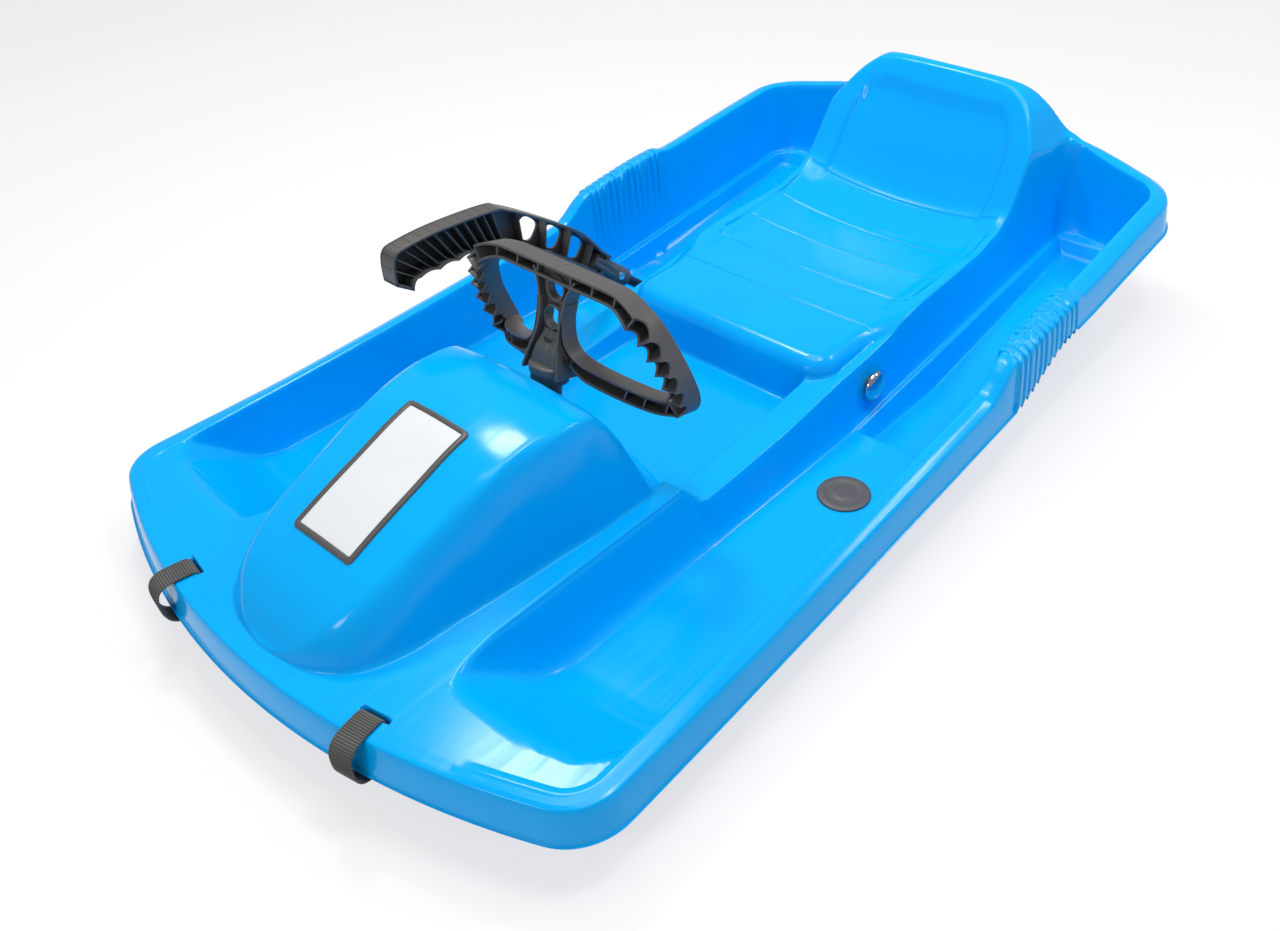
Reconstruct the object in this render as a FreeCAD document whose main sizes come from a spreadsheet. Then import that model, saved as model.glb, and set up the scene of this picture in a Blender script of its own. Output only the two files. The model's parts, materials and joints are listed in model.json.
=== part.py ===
"""A child's steering sled: moulded hull, steered front skid, hand brake with a scraper.

The hull stands on the ground plane with its front towards -Y, and X = 0 is its plane of symmetry.
"""
import FreeCAD, Part
import math
import os

Vector = FreeCAD.Vector
Rotation = FreeCAD.Rotation
Placement = FreeCAD.Placement

ALONG_X = Rotation(Vector(0, 1, 0), 90)
AGAINST_X = Rotation(Vector(0, 1, 0), -90)
ALONG_Y = Rotation(Vector(1, 0, 0), -90)
SIDES = {"left": 1, "right": -1}

# Driving sizes in millimetres, angles in degrees: name, value, meaning
HULL_SIZES = (
    ("hull_length", "990", "front to rear at the lip"),
    ("front_half", "288", "half width of the lip at the front station"),
    ("front_station_setback", "95", "front station behind the front edge"),
    ("rear_half", "260", "half width of the lip at the rear station"),
    ("rear_station_setback", "65", "rear station ahead of the rear edge"),
    ("front_bow", "650", "plan radius of the front edge"),
    ("rear_bow", "900", "plan radius of the rear edge"),
    ("front_corner", "50", "plan radius of the front corners"),
    ("rear_corner", "60", "plan radius of the rear corners"),
    ("wall", "3", "thickness of the moulding"),
    ("rim_width", "24", "lip to the inner wall of the rim"),
    ("skirt_depth", "30", "rim top to the lip"),
    ("deck_height", "70", "front deck above ground"),
    ("rim_step_height", "88", "rim top ahead of the grips"),
    ("grip_front_height", "110", "rim top where the grips begin"),
    ("grip_rear_height", "121", "rim top where the grips end"),
    ("rear_rim_height", "117", "rim top at the rear"),
    ("rim_step_behind", "82", "start of the step up to the grips"),
    ("grip_front_behind", "118", "front end of the grips"),
    ("grip_rear_behind", "232", "rear end of the grips"),
    ("lip_rise_front", "125", "where the lip starts to rise"),
    ("lip_rise_rear", "205", "where the lip stops rising"),
    ("floor_height", "16", "footwell floor above ground"),
    ("ramp_setback", "82", "top of the footwell's front ramp behind the front edge"),
    ("ramp_run", "75", "ramp, top to foot"),
    ("floor_rear_behind", "55", "where the floor starts to rise"),
    ("floor_end_setback", "55", "where the floor stops rising, ahead of the rear edge"),
    ("floor_end_height", "57", "floor height there"),
    ("trough_inner", "156", "runner trough, inner wall"),
    ("trough_outer", "226", "runner trough, outer wall"),
    ("trough_depth", "13", "runner trough below the floor"),
    ("trough_front_behind", "62", "front end of the trough"),
    ("trough_flat_behind", "180", "where the trough leaves the ground"),
    ("trough_end_margin", "12", "rear end of the trough ahead of that place"),
    ("overrun", "12", "how far cuts run past a face"),
)
CENTRE_SIZES = (
    ("centre_half", "142", "half width of the middle block at the floor"),
    ("bonnet_ledge_half", "120", "half width of the ledge beside the bonnet"),
    ("console_half", "130", "half width of the console's top edge"),
    ("console_edge_height", "60", "height at which that width holds"),
    ("console_under_bonnet", "28", "how far the console runs in under the dashboard"),
    ("console_front_height", "52", "console edge at its front"),
    ("console_rear_height", "66", "console edge at the seat"),
    ("console_deck_half", "100", "half width of the sunk deck"),
    ("console_deck_height", "38", "sunk deck above ground"),
    ("seat_front_behind", "48", "foot of the seat's front wall"),
    ("seat_front_lean", "5", "lean of that wall"),
    ("seat_height", "84", "seat above ground"),
    ("seat_half", "126", "half width of the seat"),
    ("back_foot_setback", "113", "where the seat turns up, ahead of the top"),
    ("back_bend_setback", "51", "middle of the bend ahead of the top"),
    ("back_bend_height", "112", "height there"),
    ("back_face_setback", "14", "upper end of the seat's bend ahead of the top"),
    ("back_face_height", "188", "height there"),
    ("back_height", "219", "top of the backrest"),
    ("back_slope_run", "71", "front edge of the backrest's top ahead of that foot"),
    ("back_top_depth", "16", "depth of its top"),
    ("heel_setback", "21", "foot of the backrest's rear face ahead of the rear edge"),
    ("back_half", "119", "half width near its top"),
    ("back_shoulder", "26", "size of its upper corners"),
    ("dish_half", "116", "half width of the hollow of seat and backrest"),
    ("dish_depth", "14", "depth of that hollow at the bend"),
    ("dish_front_behind", "120", "front end of that hollow"),
    ("nose_setback", "24.5", "nose of the bonnet behind the front edge"),
    ("bonnet_length", "358.5", "nose to the foot of the dashboard"),
    ("bonnet_half", "108", "half width of the bonnet at the deck"),
    ("bonnet_rise", "99", "top of the bonnet above the deck"),
)
STEERING_SIZES = (
    ("axis_setback", "297.5", "where the steering axis leaves the bonnet, behind its nose"),
    ("axis_height", "140", "height there"),
    ("column_rake", "15", "backward lean of the steering axis, degrees"),
    ("tube_diameter", "16", "column tube"),
    ("tube_wall", "1.5", "its wall"),
    ("tube_in_hub", "36", "top of the tube above the bonnet"),
    ("running_gap", "0.05", "radial room of a shaft in its bush"),
    ("seat_gap", "0.3", "room between faces that turn past each other"),
    ("bush_wall", "3", "wall of a column bush"),
    ("flange_width", "5", "flange beyond its sleeve"),
    ("flange_thickness", "2", "thickness of a flange"),
    ("boss_depth", "40", "length of the upper bush's boss below its flange"),
    ("cup_wall", "1.8", "rim of the boss around that flange"),
    ("cup_depth", "6", "depth of that rim"),
    ("upper_flange_thickness", "9", "flange that carries the hub"),
    ("hub_half", "21", "half width of the hub at its foot"),
    ("hub_waist_half", "14", "half width at its waist"),
    ("hub_depth", "28", "depth of the hub at its foot"),
    ("hub_top_depth", "16", "depth of the hub at the top bar"),
    ("hub_waist_rise", "34", "height of the waist above the foot"),
    ("hub_hole", "17", "lightening holes in the hub"),
    ("hub_hole_rise", "54", "lower hole above the bonnet"),
    ("hub_hole_pitch", "24", "between the two holes"),
    ("wheel_half", "118", "half width of the wheel"),
    ("wheel_rise", "96", "top of the wheel above the bonnet along the axis"),
    ("wheel_dish", "57", "how far the hand loops reach back"),
    ("rim_bar_width", "20", "wheel bar, width"),
    ("rim_bar_depth", "13", "wheel bar, depth"),
    ("bolt_diameter", "6", "cross bolt of the hub"),
    ("bolt_rise", "23", "cross bolt above the bonnet"),
    ("bolt_head", "10", "its head and nut across"),
    ("bolt_head_length", "4", "its head"),
    ("bridge_top", "40", "top of the bridge plate above ground"),
    ("bridge_length", "240", "bridge plate across the hull"),
    ("bridge_width", "62", "bridge plate along the hull"),
    ("bridge_thickness", "4", "bridge plate"),
    ("bridge_boss_length", "24", "bearing boss of the bridge"),
    ("post_offset", "111", "screw posts from the middle"),
    ("post_pitch", "44", "between front and rear posts"),
    ("post_diameter", "14", "screw posts"),
    ("screw_diameter", "4", "bridge screws"),
    ("screw_depth", "16", "how far they reach into the posts"),
    ("screw_head", "9", "their heads"),
    ("screw_head_length", "3", "their heads"),
    ("collar_diameter", "28", "stop collar"),
    ("collar_length", "10", "stop collar"),
    ("skid_length", "178", "steered skid"),
    ("skid_width", "26", "steered skid"),
    ("skid_height", "12", "steered skid"),
    ("skid_nose_rise", "14", "lift of its front end"),
    ("skid_ahead_share", "0.52", "share of the skid ahead of the axis"),
    ("skid_boss_wall", "5", "socket of the skid around the tube"),
    ("tube_end_height", "4", "lower end of the tube above ground"),
    ("skid_pin_diameter", "5", "cross pin of the skid"),
    ("skid_pin_height", "14", "cross pin above ground"),
)
BRAKE_SIZES = (
    ("axle_behind", "95", "brake axle behind the middle"),
    ("axle_height", "45", "brake axle above ground"),
    ("rod_diameter", "10", "brake rod"),
    ("rod_bend", "8", "bend radius of the rod"),
    ("lever_offset", "147", "plane of the lever from the middle"),
    ("lever_angle", "41", "slope of the lever's arm, degrees"),
    ("rod_in_handle", "94", "end of the rod along the arm from the axle"),
    ("handle_reach", "305", "axle to the tip of the handle"),
    ("handle_rise", "178", "axle to the top of the handle"),
    ("handle_thickness", "18", "handle"),
    ("handle_hole", "15", "lightening holes in the arm"),
    ("handle_hole_along", "130", "first hole from the axle"),
    ("handle_hole_pitch", "36", "between holes"),
    ("handle_screw_along", "56", "fixing screw from the axle"),
    ("handle_screw_diameter", "4", "fixing screw"),
    ("handle_screw_head", "8", "its head"),
    ("handle_screw_head_length", "2", "its head"),
    ("axle_pad_offset", "137.6", "outer face of the bearing pads"),
    ("axle_pad_diameter", "24", "bearing pads on the console's walls"),
    ("axle_pad_depth", "12", "bearing pads"),
    ("axle_bush_wall", "2.5", "wall of an axle bush"),
    ("axle_bush_gap", "0.1", "room around an axle bush in the hull"),
    ("axle_flange_width", "2.5", "its flange beyond the sleeve"),
    ("axle_flange_thickness", "1.5", "its flange"),
    ("washer_thickness", "1", "washer under the cap"),
    ("washer_width", "5", "washer beyond the axle"),
    ("cap_diameter", "24", "push-on cap"),
    ("cap_height", "8", "push-on cap"),
    ("cap_grip", "5", "axle inside the cap"),
    ("claw_width", "84", "scraper plate"),
    ("claw_length", "74", "axle to the scraper's teeth"),
    ("claw_thickness", "3", "scraper plate"),
    ("claw_tooth", "9", "depth of its teeth"),
    ("claw_teeth", "5", "count of its teeth"),
    ("claw_droop", "14", "slope of the scraper at rest, degrees"),
    ("claw_hub_wall", "4", "sleeve of the scraper"),
    ("claw_bolt_diameter", "4", "bolts through sleeve and axle"),
    ("claw_bolt_offset", "26", "bolts from the middle"),
)
TRIM_SIZES = (
    ("plug_offset", "190", "floor plugs from the middle"),
    ("plug_ahead", "20", "floor plugs ahead of the middle"),
    ("plug_head", "47", "floor plug head"),
    ("plug_head_thickness", "2.5", "floor plug head"),
    ("plug_stem", "32", "floor plug stem"),
    ("plug_gap", "0.15", "room around the stem"),
    ("plug_dish", "33", "sunk middle of the head"),
    ("plug_dish_depth", "1", "depth of that middle"),
    ("plate_setback", "126", "centre of the bonnet plate behind the nose"),
    ("plate_height", "140", "its seat above ground there"),
    ("plate_slope", "21.8", "its slope, degrees"),
    ("plate_length", "131", "frame along the slope"),
    ("plate_width", "69", "frame across"),
    ("plate_border", "5", "width of the frame's border"),
    ("plate_frame_depth", "3.5", "frame"),
    ("plate_recess", "1.5", "depth of the plate's recess"),
    ("plate_thickness", "1.2", "plate"),
    ("plate_gap", "0.2", "room around the plate"),
    ("strap_offset", "112.75", "straps from the middle"),
    ("strap_width", "20", "webbing"),
    ("strap_thickness", "1.8", "webbing"),
    ("strap_setback", "28", "slot behind the front edge"),
    ("strap_play", "7", "slack of the loop round the skirt"),
    ("strap_gap", "0.6", "loop above the deck"),
    ("strap_bend", "2.5", "inner radius of the loop's corners"),
    ("slot_room", "1.5", "room around the webbing in its slot"),
)
# Places that follow from the driving sizes: name, formula, meaning
PLACES = (
    ("front_station", "=hull_length / 2 - front_station_setback", "front station ahead of the middle"),
    ("rear_station", "=hull_length / 2 - rear_station_setback", "rear station behind the middle"),
    ("ramp_top_ahead", "=hull_length / 2 - ramp_setback", "top of the ramp ahead of the middle"),
    ("floor_front_ahead", "=ramp_top_ahead - ramp_run", "foot of the ramp ahead of the middle"),
    ("floor_end_behind", "=hull_length / 2 - floor_end_setback", "where the floor stops rising"),
    ("trough_rear_behind", "=floor_end_behind - trough_end_margin", "rear end of the trough"),
    ("nose_ahead", "=hull_length / 2 - nose_setback", "nose of the bonnet ahead of the middle"),
    ("console_front_ahead", "=nose_ahead - bonnet_length + console_under_bonnet", "front of the console"),
    ("back_heel_behind", "=hull_length / 2 - heel_setback", "foot of its rear face"),
    ("back_top_behind", "=back_heel_behind - back_slope_run", "front edge of its top"),
    ("back_face_behind", "=back_top_behind - back_face_setback", "upper end of the bend"),
    ("back_bend_behind", "=back_top_behind - back_bend_setback", "middle of that bend"),
    ("back_foot_behind", "=back_top_behind - back_foot_setback", "where the seat turns up into the backrest"),
    ("axis_ahead", "=nose_ahead - axis_setback", "steering axis ahead of the middle"),
    ("plate_ahead", "=nose_ahead - plate_setback", "plate ahead of the middle"),
)

# Bonnet sections: along, half width, foot above the deck, top above the deck
BONNET_SHARES = (
    (0.010, 0.28, 0.0, 0.03),
    (0.043, 0.54, 0.0, 0.13),
    (0.099, 0.71, 0.0, 0.27),
    (0.183, 0.82, 0.0, 0.47),
    (0.350, 0.867, 0.0, 0.747),
    (0.520, 0.917, 0.0, 0.955),
    (0.629, 0.958, 0.0, 1.0),
    (0.713, 0.98, 0.0, 0.94),
    (0.768, 0.99, 0.0, 0.81),
    (0.830, 1.0, 0.0, 0.64),
    (0.908, 0.97, -0.22, 0.30),
    (0.964, 0.94, -0.30, -0.08),
    (1.0, 0.92, -0.32, -0.26),
)
# One half of each section's arch, from its foot to its top: across, up
ARCH_SHARES = (
    (1.0, 0.0),
    (0.93, 0.36),
    (0.87, 0.65),
    (0.80, 0.83),
    (0.68, 0.94),
    (0.42, 0.985),
    (0.0, 1.0),
)
# Depth of the hollow at its front end, the foot, middle and end of the bend, and the top
DISH_SHARES = (0.04, 0.7, 1.0, 0.9, 0.15)
# Middle line of one hand loop: across, back, up the axis
LOOP_SHARES = (
    (0.0, 0.0, 0.90),
    (0.55, 0.0, 0.90),
    (0.70, 0.05, 0.84),
    (0.81, 0.16, 0.70),
    (0.89, 0.44, 0.44),
    (0.91, 0.70, 0.22),
    (0.89, 0.86, 0.09),
    (0.82, 0.84, 0.03),
    (0.70, 0.62, 0.05),
    (0.42, 0.27, 0.14),
    (0.14, 0.04, 0.22),
)
# Handle outline: towards the front, up
HANDLE_SHARES = (
    (0.030, 0.130),
    (0.130, 0.302),
    (0.311, 0.618),
    (0.452, 0.781),
    (0.570, 0.921),
    (0.633, 0.966),
    (0.823, 1.0),
    (0.957, 0.997),
    (1.0, 0.972),
    (1.0, 0.826),
    (0.941, 0.753),
    (0.930, 0.815),
    (0.872, 0.809),
    (0.748, 0.798),
    (0.689, 0.781),
    (0.600, 0.758),
    (0.256, 0.327),
    (0.098, 0.063),
)

doc = FreeCAD.newDocument("steering_sled")
sheet = doc.addObject("Spreadsheet::Sheet", "Sizes")
NODES = {}


def fill_sheet():
    """Writes every driving size into the sheet, one row each."""
    rows = HULL_SIZES + CENTRE_SIZES + STEERING_SIZES + BRAKE_SIZES + TRIM_SIZES + PLACES
    for row, (alias, value, meaning) in enumerate(rows, start=1):
        sheet.set("A%d" % row, meaning)
        sheet.set("B%d" % row, value)
        sheet.setAlias("B%d" % row, alias)
    doc.recompute()


def size(alias):
    """The number that the sheet holds under an alias."""
    return float(sheet.get(alias))


def bound(kind, name, place, **expressions):
    """A primitive whose sizes follow the sheet."""
    item = doc.addObject(kind, name)
    for prop, expression in expressions.items():
        item.setExpression(prop, expression)
    item.Placement = place
    return item


def rod(name, diameter, length, place):
    """A cylinder along its own Z."""
    radius = "(%s) / 2" % diameter
    return bound("Part::Cylinder", name, place, Radius=radius, Height=length)


def block(name, length, width, height, place):
    """A box from its own corner."""
    return bound("Part::Box", name, place, Length=length, Width=width, Height=height)


def cut(name, base, tool):
    """Base less tool."""
    item = doc.addObject("Part::Cut", name)
    item.Base = base
    item.Tool = tool
    return item


def joined(name, items):
    """Several solids as one."""
    item = doc.addObject("Part::MultiFuse", name)
    item.Shapes = items
    return item


def shared(name, items):
    """What several solids have in common."""
    item = doc.addObject("Part::MultiCommon", name)
    item.Shapes = items
    return item


def feature(name, shape, place=None):
    """A piece whose shape is worked out here from the sheet."""
    item = doc.addObject("Part::Feature", name)
    item.Shape = shape
    item.Placement = place or Placement()
    return item


def at(x, y, z, turn=None):
    """A placement from three coordinates."""
    return Placement(Vector(x, y, z), turn or Rotation())


def keep(label, item):
    """Takes a piece into the list of nodes."""
    item.Label = label
    NODES[label] = item


def steering_place():
    """Frame of the steering axis: Z up the column, origin where it leaves the bonnet."""
    turn = Rotation(Vector(1, 0, 0), -size("column_rake"))
    return at(0, -size("axis_ahead"), size("axis_height"), turn)


def axis_station(height):
    """Distance along the steering axis at a height above ground."""
    return (height - size("axis_height")) / math.cos(math.radians(size("column_rake")))


def polygon_face(points):
    """A flat face through corner points."""
    return Part.Face(Part.makePolygon(list(points) + [points[0]]))


def side_face(points):
    """A face in the plane X = 0 from (y, z) corners."""
    return polygon_face([Vector(0, y, z) for y, z in points])


def across(face):
    """A side face run across the whole hull."""
    reach = size("front_half") + size("overrun")
    moved = face.translated(Vector(-reach, 0, 0))
    return moved.extrude(Vector(2 * reach, 0, 0))


def section_block(points, front, rear):
    """A cross section, given as (x, z) corners of one half, run from front to rear."""
    right = [Vector(x, front, z) for x, z in points]
    left = [Vector(-x, front, z) for x, z in reversed(points)]
    return polygon_face(right + left).extrude(Vector(0, rear - front, 0))


def fuse_all(shapes):
    """One solid from several."""
    return shapes[0].multiFuse(shapes[1:])


def uprights(prism, end):
    """Upright edges of a prism at its front (-1) or rear (1) end."""
    boxes = [(edge, edge.BoundBox) for edge in prism.Edges if edge.CenterOfMass.y * end > 0]
    return [edge for edge, box in boxes if box.ZLength > box.XLength + box.YLength]


def plan_block(inset):
    """The hull's plan outline drawn in by an inset, as a tall prism."""
    middle = size("hull_length") / 2
    taper = (size("rear_half") - size("front_half")) / (size("rear_station") + size("front_station"))

    def side(y):
        return size("front_half") - inset + taper * (y + size("front_station"))

    def crossing(bow, end):
        radius = bow - inset
        centre = end * (middle - bow)
        y = end * middle
        for _ in range(30):
            y = centre + end * math.sqrt(radius ** 2 - side(y) ** 2)
        return Vector(side(y), y, 0)

    front = crossing(size("front_bow"), -1)
    rear = crossing(size("rear_bow"), 1)
    front_left = Vector(-front.x, front.y, 0)
    rear_left = Vector(-rear.x, rear.y, 0)
    edges = (
        Part.Arc(front_left, Vector(0, inset - middle, 0), front).toShape(),
        Part.LineSegment(front, rear).toShape(),
        Part.Arc(rear, Vector(0, middle - inset, 0), rear_left).toShape(),
        Part.LineSegment(rear_left, front_left).toShape(),
    )
    low = -size("overrun")
    high = size("grip_rear_height") + size("overrun")
    prism = Part.Face(Part.Wire(edges)).extrude(Vector(0, 0, high - low))
    prism = prism.makeFillet(size("front_corner") - inset, uprights(prism, -1))
    prism = prism.makeFillet(size("rear_corner") - inset, uprights(prism, 1))
    return prism.translated(Vector(0, 0, low))


def rim_line(drop):
    """Side view of the rim's top, lowered by a drop."""
    end = size("hull_length") / 2 + size("overrun")
    points = (
        (-end, size("deck_height")),
        (-size("front_station"), size("deck_height")),
        (size("rim_step_behind"), size("rim_step_height")),
        (size("grip_front_behind"), size("grip_front_height")),
        (size("grip_rear_behind"), size("grip_rear_height")),
        (end, size("rear_rim_height")),
    )
    return [(y, z - drop) for y, z in points]


def lip_line():
    """Side view of the skirt's lower edge."""
    end = size("hull_length") / 2 + size("overrun")
    skirt = size("skirt_depth")
    return [
        (-end, size("deck_height") - skirt),
        (-size("front_station"), size("deck_height") - skirt),
        (size("lip_rise_front"), size("rim_step_height") - skirt),
        (size("lip_rise_rear"), size("rear_rim_height") - skirt),
        (end, size("rear_rim_height") - skirt),
    ]


def below_rim(drop):
    """Everything under the rim's top, lowered by a drop."""
    line = rim_line(drop)
    low = -size("overrun")
    return across(side_face(line + [(line[-1][0], low), (line[0][0], low)]))


def basin_face():
    """Side view of the footwells' space."""
    end = size("hull_length") / 2 + size("overrun")
    high = size("back_height") + size("overrun")
    return side_face([
        (-size("ramp_top_ahead"), high),
        (-size("ramp_top_ahead"), size("deck_height")),
        (-size("floor_front_ahead"), size("floor_height")),
        (size("floor_rear_behind"), size("floor_height")),
        (size("floor_end_behind"), size("floor_end_height")),
        (end, size("floor_end_height")),
        (end, high),
    ])


def trough_face():
    """Side view of a runner trough's space."""
    bottom = size("floor_height") - size("trough_depth")
    rear = size("trough_rear_behind")
    return side_face([
        (size("trough_front_behind"), size("floor_end_height")),
        (size("trough_front_behind"), bottom),
        (size("trough_flat_behind"), bottom),
        (rear, size("floor_end_height") - size("trough_depth")),
        (rear, size("floor_end_height")),
    ])


def trough_block(side, grow):
    """One runner trough's space, grown by a wall."""
    face = trough_face()
    if grow:
        face = face.makeOffset2D(grow, 2)
    width = size("trough_outer") - size("trough_inner") + 2 * grow
    solid = face.extrude(Vector(width, 0, 0)).translated(Vector(size("trough_inner") - grow, 0, 0))
    if side > 0:
        return solid
    return solid.mirror(Vector(0, 0, 0), Vector(1, 0, 0))


def rim_and_floor():
    """Rim, skirt, deck, footwell walls, floor and runner troughs, with nothing in the middle."""
    wall = size("wall")
    rim_width = size("rim_width")
    rim = plan_block(0).common(across(side_face(rim_line(0) + list(reversed(lip_line())))))
    basin = plan_block(rim_width).common(across(basin_face()))
    tub = plan_block(rim_width - wall).common(across(basin_face().makeOffset2D(wall, 2)))
    tub = tub.common(below_rim(0))
    hollow = plan_block(wall).common(below_rim(wall)).cut(tub)
    shell = rim.fuse(tub).cut(hollow).cut(basin)
    for side in SIDES.values():
        shell = shell.fuse(trough_block(side, wall).cut(basin)).cut(trough_block(side, 0))
    return shell


def bonnet_block(inset):
    """The block under the bonnet, between the footwells."""
    low = size("floor_height") - size("wall")
    high = size("deck_height") - inset
    slope = (size("centre_half") - size("bonnet_ledge_half")) / (size("deck_height") - size("floor_height"))
    if inset:
        low = -size("overrun")
    foot = size("bonnet_ledge_half") + slope * (size("deck_height") - low) - inset
    top = size("bonnet_ledge_half") + slope * (size("deck_height") - high) - inset
    rear = -size("console_front_ahead") - inset
    return section_block([(foot, low), (top, high)], -size("ramp_top_ahead"), rear)


def console_face():
    """Side view of console, seat and backrest."""
    low = -size("overrun")
    seat = size("seat_height")
    seat_top = size("seat_front_behind") + size("seat_front_lean")
    bend_foot = Vector(0, size("back_foot_behind"), seat)
    bend = Vector(0, size("back_bend_behind"), size("back_bend_height"))
    bend_end = Vector(0, size("back_face_behind"), size("back_face_height"))
    top_rear = size("back_top_behind") + size("back_top_depth")
    corners = [
        bend_end,
        Vector(0, size("back_top_behind"), size("back_height")),
        Vector(0, top_rear, size("back_height")),
        Vector(0, size("back_heel_behind"), size("rear_rim_height")),
        Vector(0, size("back_heel_behind"), low),
        Vector(0, -size("console_front_ahead"), low),
        Vector(0, -size("console_front_ahead"), size("console_front_height")),
        Vector(0, size("seat_front_behind"), size("console_rear_height")),
        Vector(0, seat_top, seat),
        bend_foot,
    ]
    edges = [Part.LineSegment(a, b).toShape() for a, b in zip(corners, corners[1:])]
    edges.append(Part.Arc(bend_foot, bend, bend_end).toShape())
    return Part.Face(Part.Wire(edges))


def console_section(inset):
    """Cross section of console, seat and backrest as (x, z) corners of one half."""
    low = size("floor_height") - size("wall")
    if inset:
        low = -size("overrun")
    edge = size("console_edge_height")
    slope = (size("centre_half") - size("console_half")) / (edge - size("floor_height"))
    shoulder = size("back_shoulder")
    high = size("back_height") + size("overrun")
    points = [
        (size("console_half") + slope * (edge - low), low),
        (size("console_half"), edge),
        (size("seat_half"), size("seat_height")),
        (size("back_half"), size("back_height") - shoulder),
        (size("back_half") - shoulder, size("back_height")),
        (size("back_half") - shoulder, high),
    ]
    return [(x - inset, z - inset * (z == size("back_height"))) for x, z in points]


def seat_dish(inset):
    """Hollow of seat and backrest, lowered by an inset, as a loft through shallow arcs."""
    seat = size("seat_height")
    stations = (
        (size("dish_front_behind"), seat),
        (size("back_foot_behind"), seat),
        (size("back_bend_behind"), size("back_bend_height")),
        (size("back_face_behind"), size("back_face_height")),
        (size("back_top_behind"), size("back_height")),
    )
    ahead = (stations[0],) + stations[:-1]
    behind = stations[1:] + (stations[-1],)
    reach = Vector(size("dish_half") - inset, 0, 0)
    wires = []
    for before, here, after, share in zip(ahead, stations, behind, DISH_SHARES):
        run = Vector(0, after[0] - before[0], after[1] - before[1])
        if here == stations[1]:
            run = Vector(0, 1, 0)
        normal = Vector(1, 0, 0).cross(run).normalize()
        middle = Vector(0, *here) - normal * inset
        lift = normal * size("overrun")
        arc = Part.Arc(middle - reach, middle - normal * (share * size("dish_depth")), middle + reach)
        corners = (middle + reach, middle + reach + lift, middle - reach + lift, middle - reach)
        sides = [Part.LineSegment(a, b).toShape() for a, b in zip(corners, corners[1:])]
        wires.append(Part.Wire([arc.toShape()] + sides))
    return Part.makeLoft(wires, True, False)


def console_block(inset):
    """Console, seat and backrest with the sunk deck taken out."""
    face = console_face()
    if inset:
        face = face.makeOffset2D(-inset, 2)
    front = -size("console_front_ahead")
    rear = size("back_heel_behind")
    solid = across(face).common(section_block(console_section(inset), front, rear))
    half = size("console_deck_half") + inset
    deck_front = front - size("overrun")
    deck = Part.makeBox(
        2 * half,
        size("seat_front_behind") + inset - deck_front,
        size("seat_height"),
        Vector(-half, deck_front, size("console_deck_height") - inset),
    )
    return solid.cut(deck).cut(seat_dish(inset))


def bonnet_dome(inset):
    """The bonnet and dashboard as a loft through arched sections."""
    wires = []
    for along, half, foot, top in BONNET_SHARES:
        y = along * (size("bonnet_length") - 2 * inset) + inset - size("nose_ahead")
        x = half * size("bonnet_half") - inset
        low = size("deck_height") + foot * size("bonnet_rise")
        high = size("deck_height") + top * size("bonnet_rise") - inset
        base = low - size("wall")
        if inset:
            base = -size("overrun")
        if high - low < inset:
            continue
        right = [Vector(x * a, y, low + (high - low) * b) for a, b in ARCH_SHARES]
        left = [Vector(-point.x, y, point.z) for point in right[:-1]]
        spline = Part.BSplineCurve()
        spline.interpolate(left + right[::-1])
        arch = spline.toShape()
        corners = [Vector(x, y, low), Vector(x, y, base), Vector(-x, y, base), Vector(-x, y, low)]
        sides = [Part.LineSegment(a, b).toShape() for a, b in zip(corners, corners[1:])]
        wires.append(Part.Wire([arch] + sides))
    return Part.makeLoft(wires, True, True)


def axis_cylinder(diameter, low, high):
    """A cylinder on the steering axis between two stations."""
    solid = Part.makeCylinder(diameter / 2, high - low, Vector(0, 0, low))
    solid.Placement = steering_place()
    return solid


def cross_cylinder(diameter, y, z, low, high):
    """A cylinder along X."""
    return Part.makeCylinder(diameter / 2, high - low, Vector(low, y, z), Vector(1, 0, 0))


def bush_diameter():
    """Outside of a column bush."""
    return size("tube_diameter") + 2 * size("running_gap") + 2 * size("bush_wall")


def flange_diameter():
    """Outside of a column bush's flange."""
    return bush_diameter() + 2 * size("flange_width")


def hub_foot():
    """Lower end of the hub along the steering axis."""
    return size("upper_flange_thickness") + size("seat_gap")


def axle_bush_diameter():
    """Outside of an axle bush."""
    return size("rod_diameter") + 2 * size("running_gap") + 2 * size("axle_bush_wall")


def bridge_middle():
    """Where the steering axis passes through the bridge plate."""
    z = size("bridge_top") - size("bridge_thickness") / 2
    lean = math.tan(math.radians(size("column_rake")))
    return Vector(0, -size("axis_ahead") - (size("axis_height") - z) * lean, z)


def post_places():
    """Feet of the four screw posts under the bonnet."""
    middle = bridge_middle().y
    return [
        Vector(side * size("post_offset"), middle + end * size("post_pitch") / 2, size("bridge_top"))
        for side in SIDES.values()
        for end in (-1, 1)
    ]


def plate_place():
    """Frame of the bonnet plate's seat: X across, Y up the slope, Z out of the bonnet."""
    turn = Rotation(Vector(1, 0, 0), size("plate_slope"))
    return at(0, -size("plate_ahead"), size("plate_height"), turn)


def plate_seat(low, high):
    """A block over the plate's outline between two levels."""
    solid = Part.makeBox(
        size("plate_width"),
        size("plate_length"),
        high - low,
        Vector(-size("plate_width") / 2, -size("plate_length") / 2, low),
    )
    solid.Placement = plate_place()
    return solid


def strap_turn(side):
    """Turn about the bow's centre that carries the middle of the front edge to a strap."""
    radius = size("front_bow") - size("strap_setback")
    angle = side * math.degrees(math.asin(size("strap_offset") / radius))
    centre = Vector(0, size("front_bow") - size("hull_length") / 2, 0)
    return Placement(Vector(0, 0, 0), Rotation(Vector(0, 0, 1), angle), centre)


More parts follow.
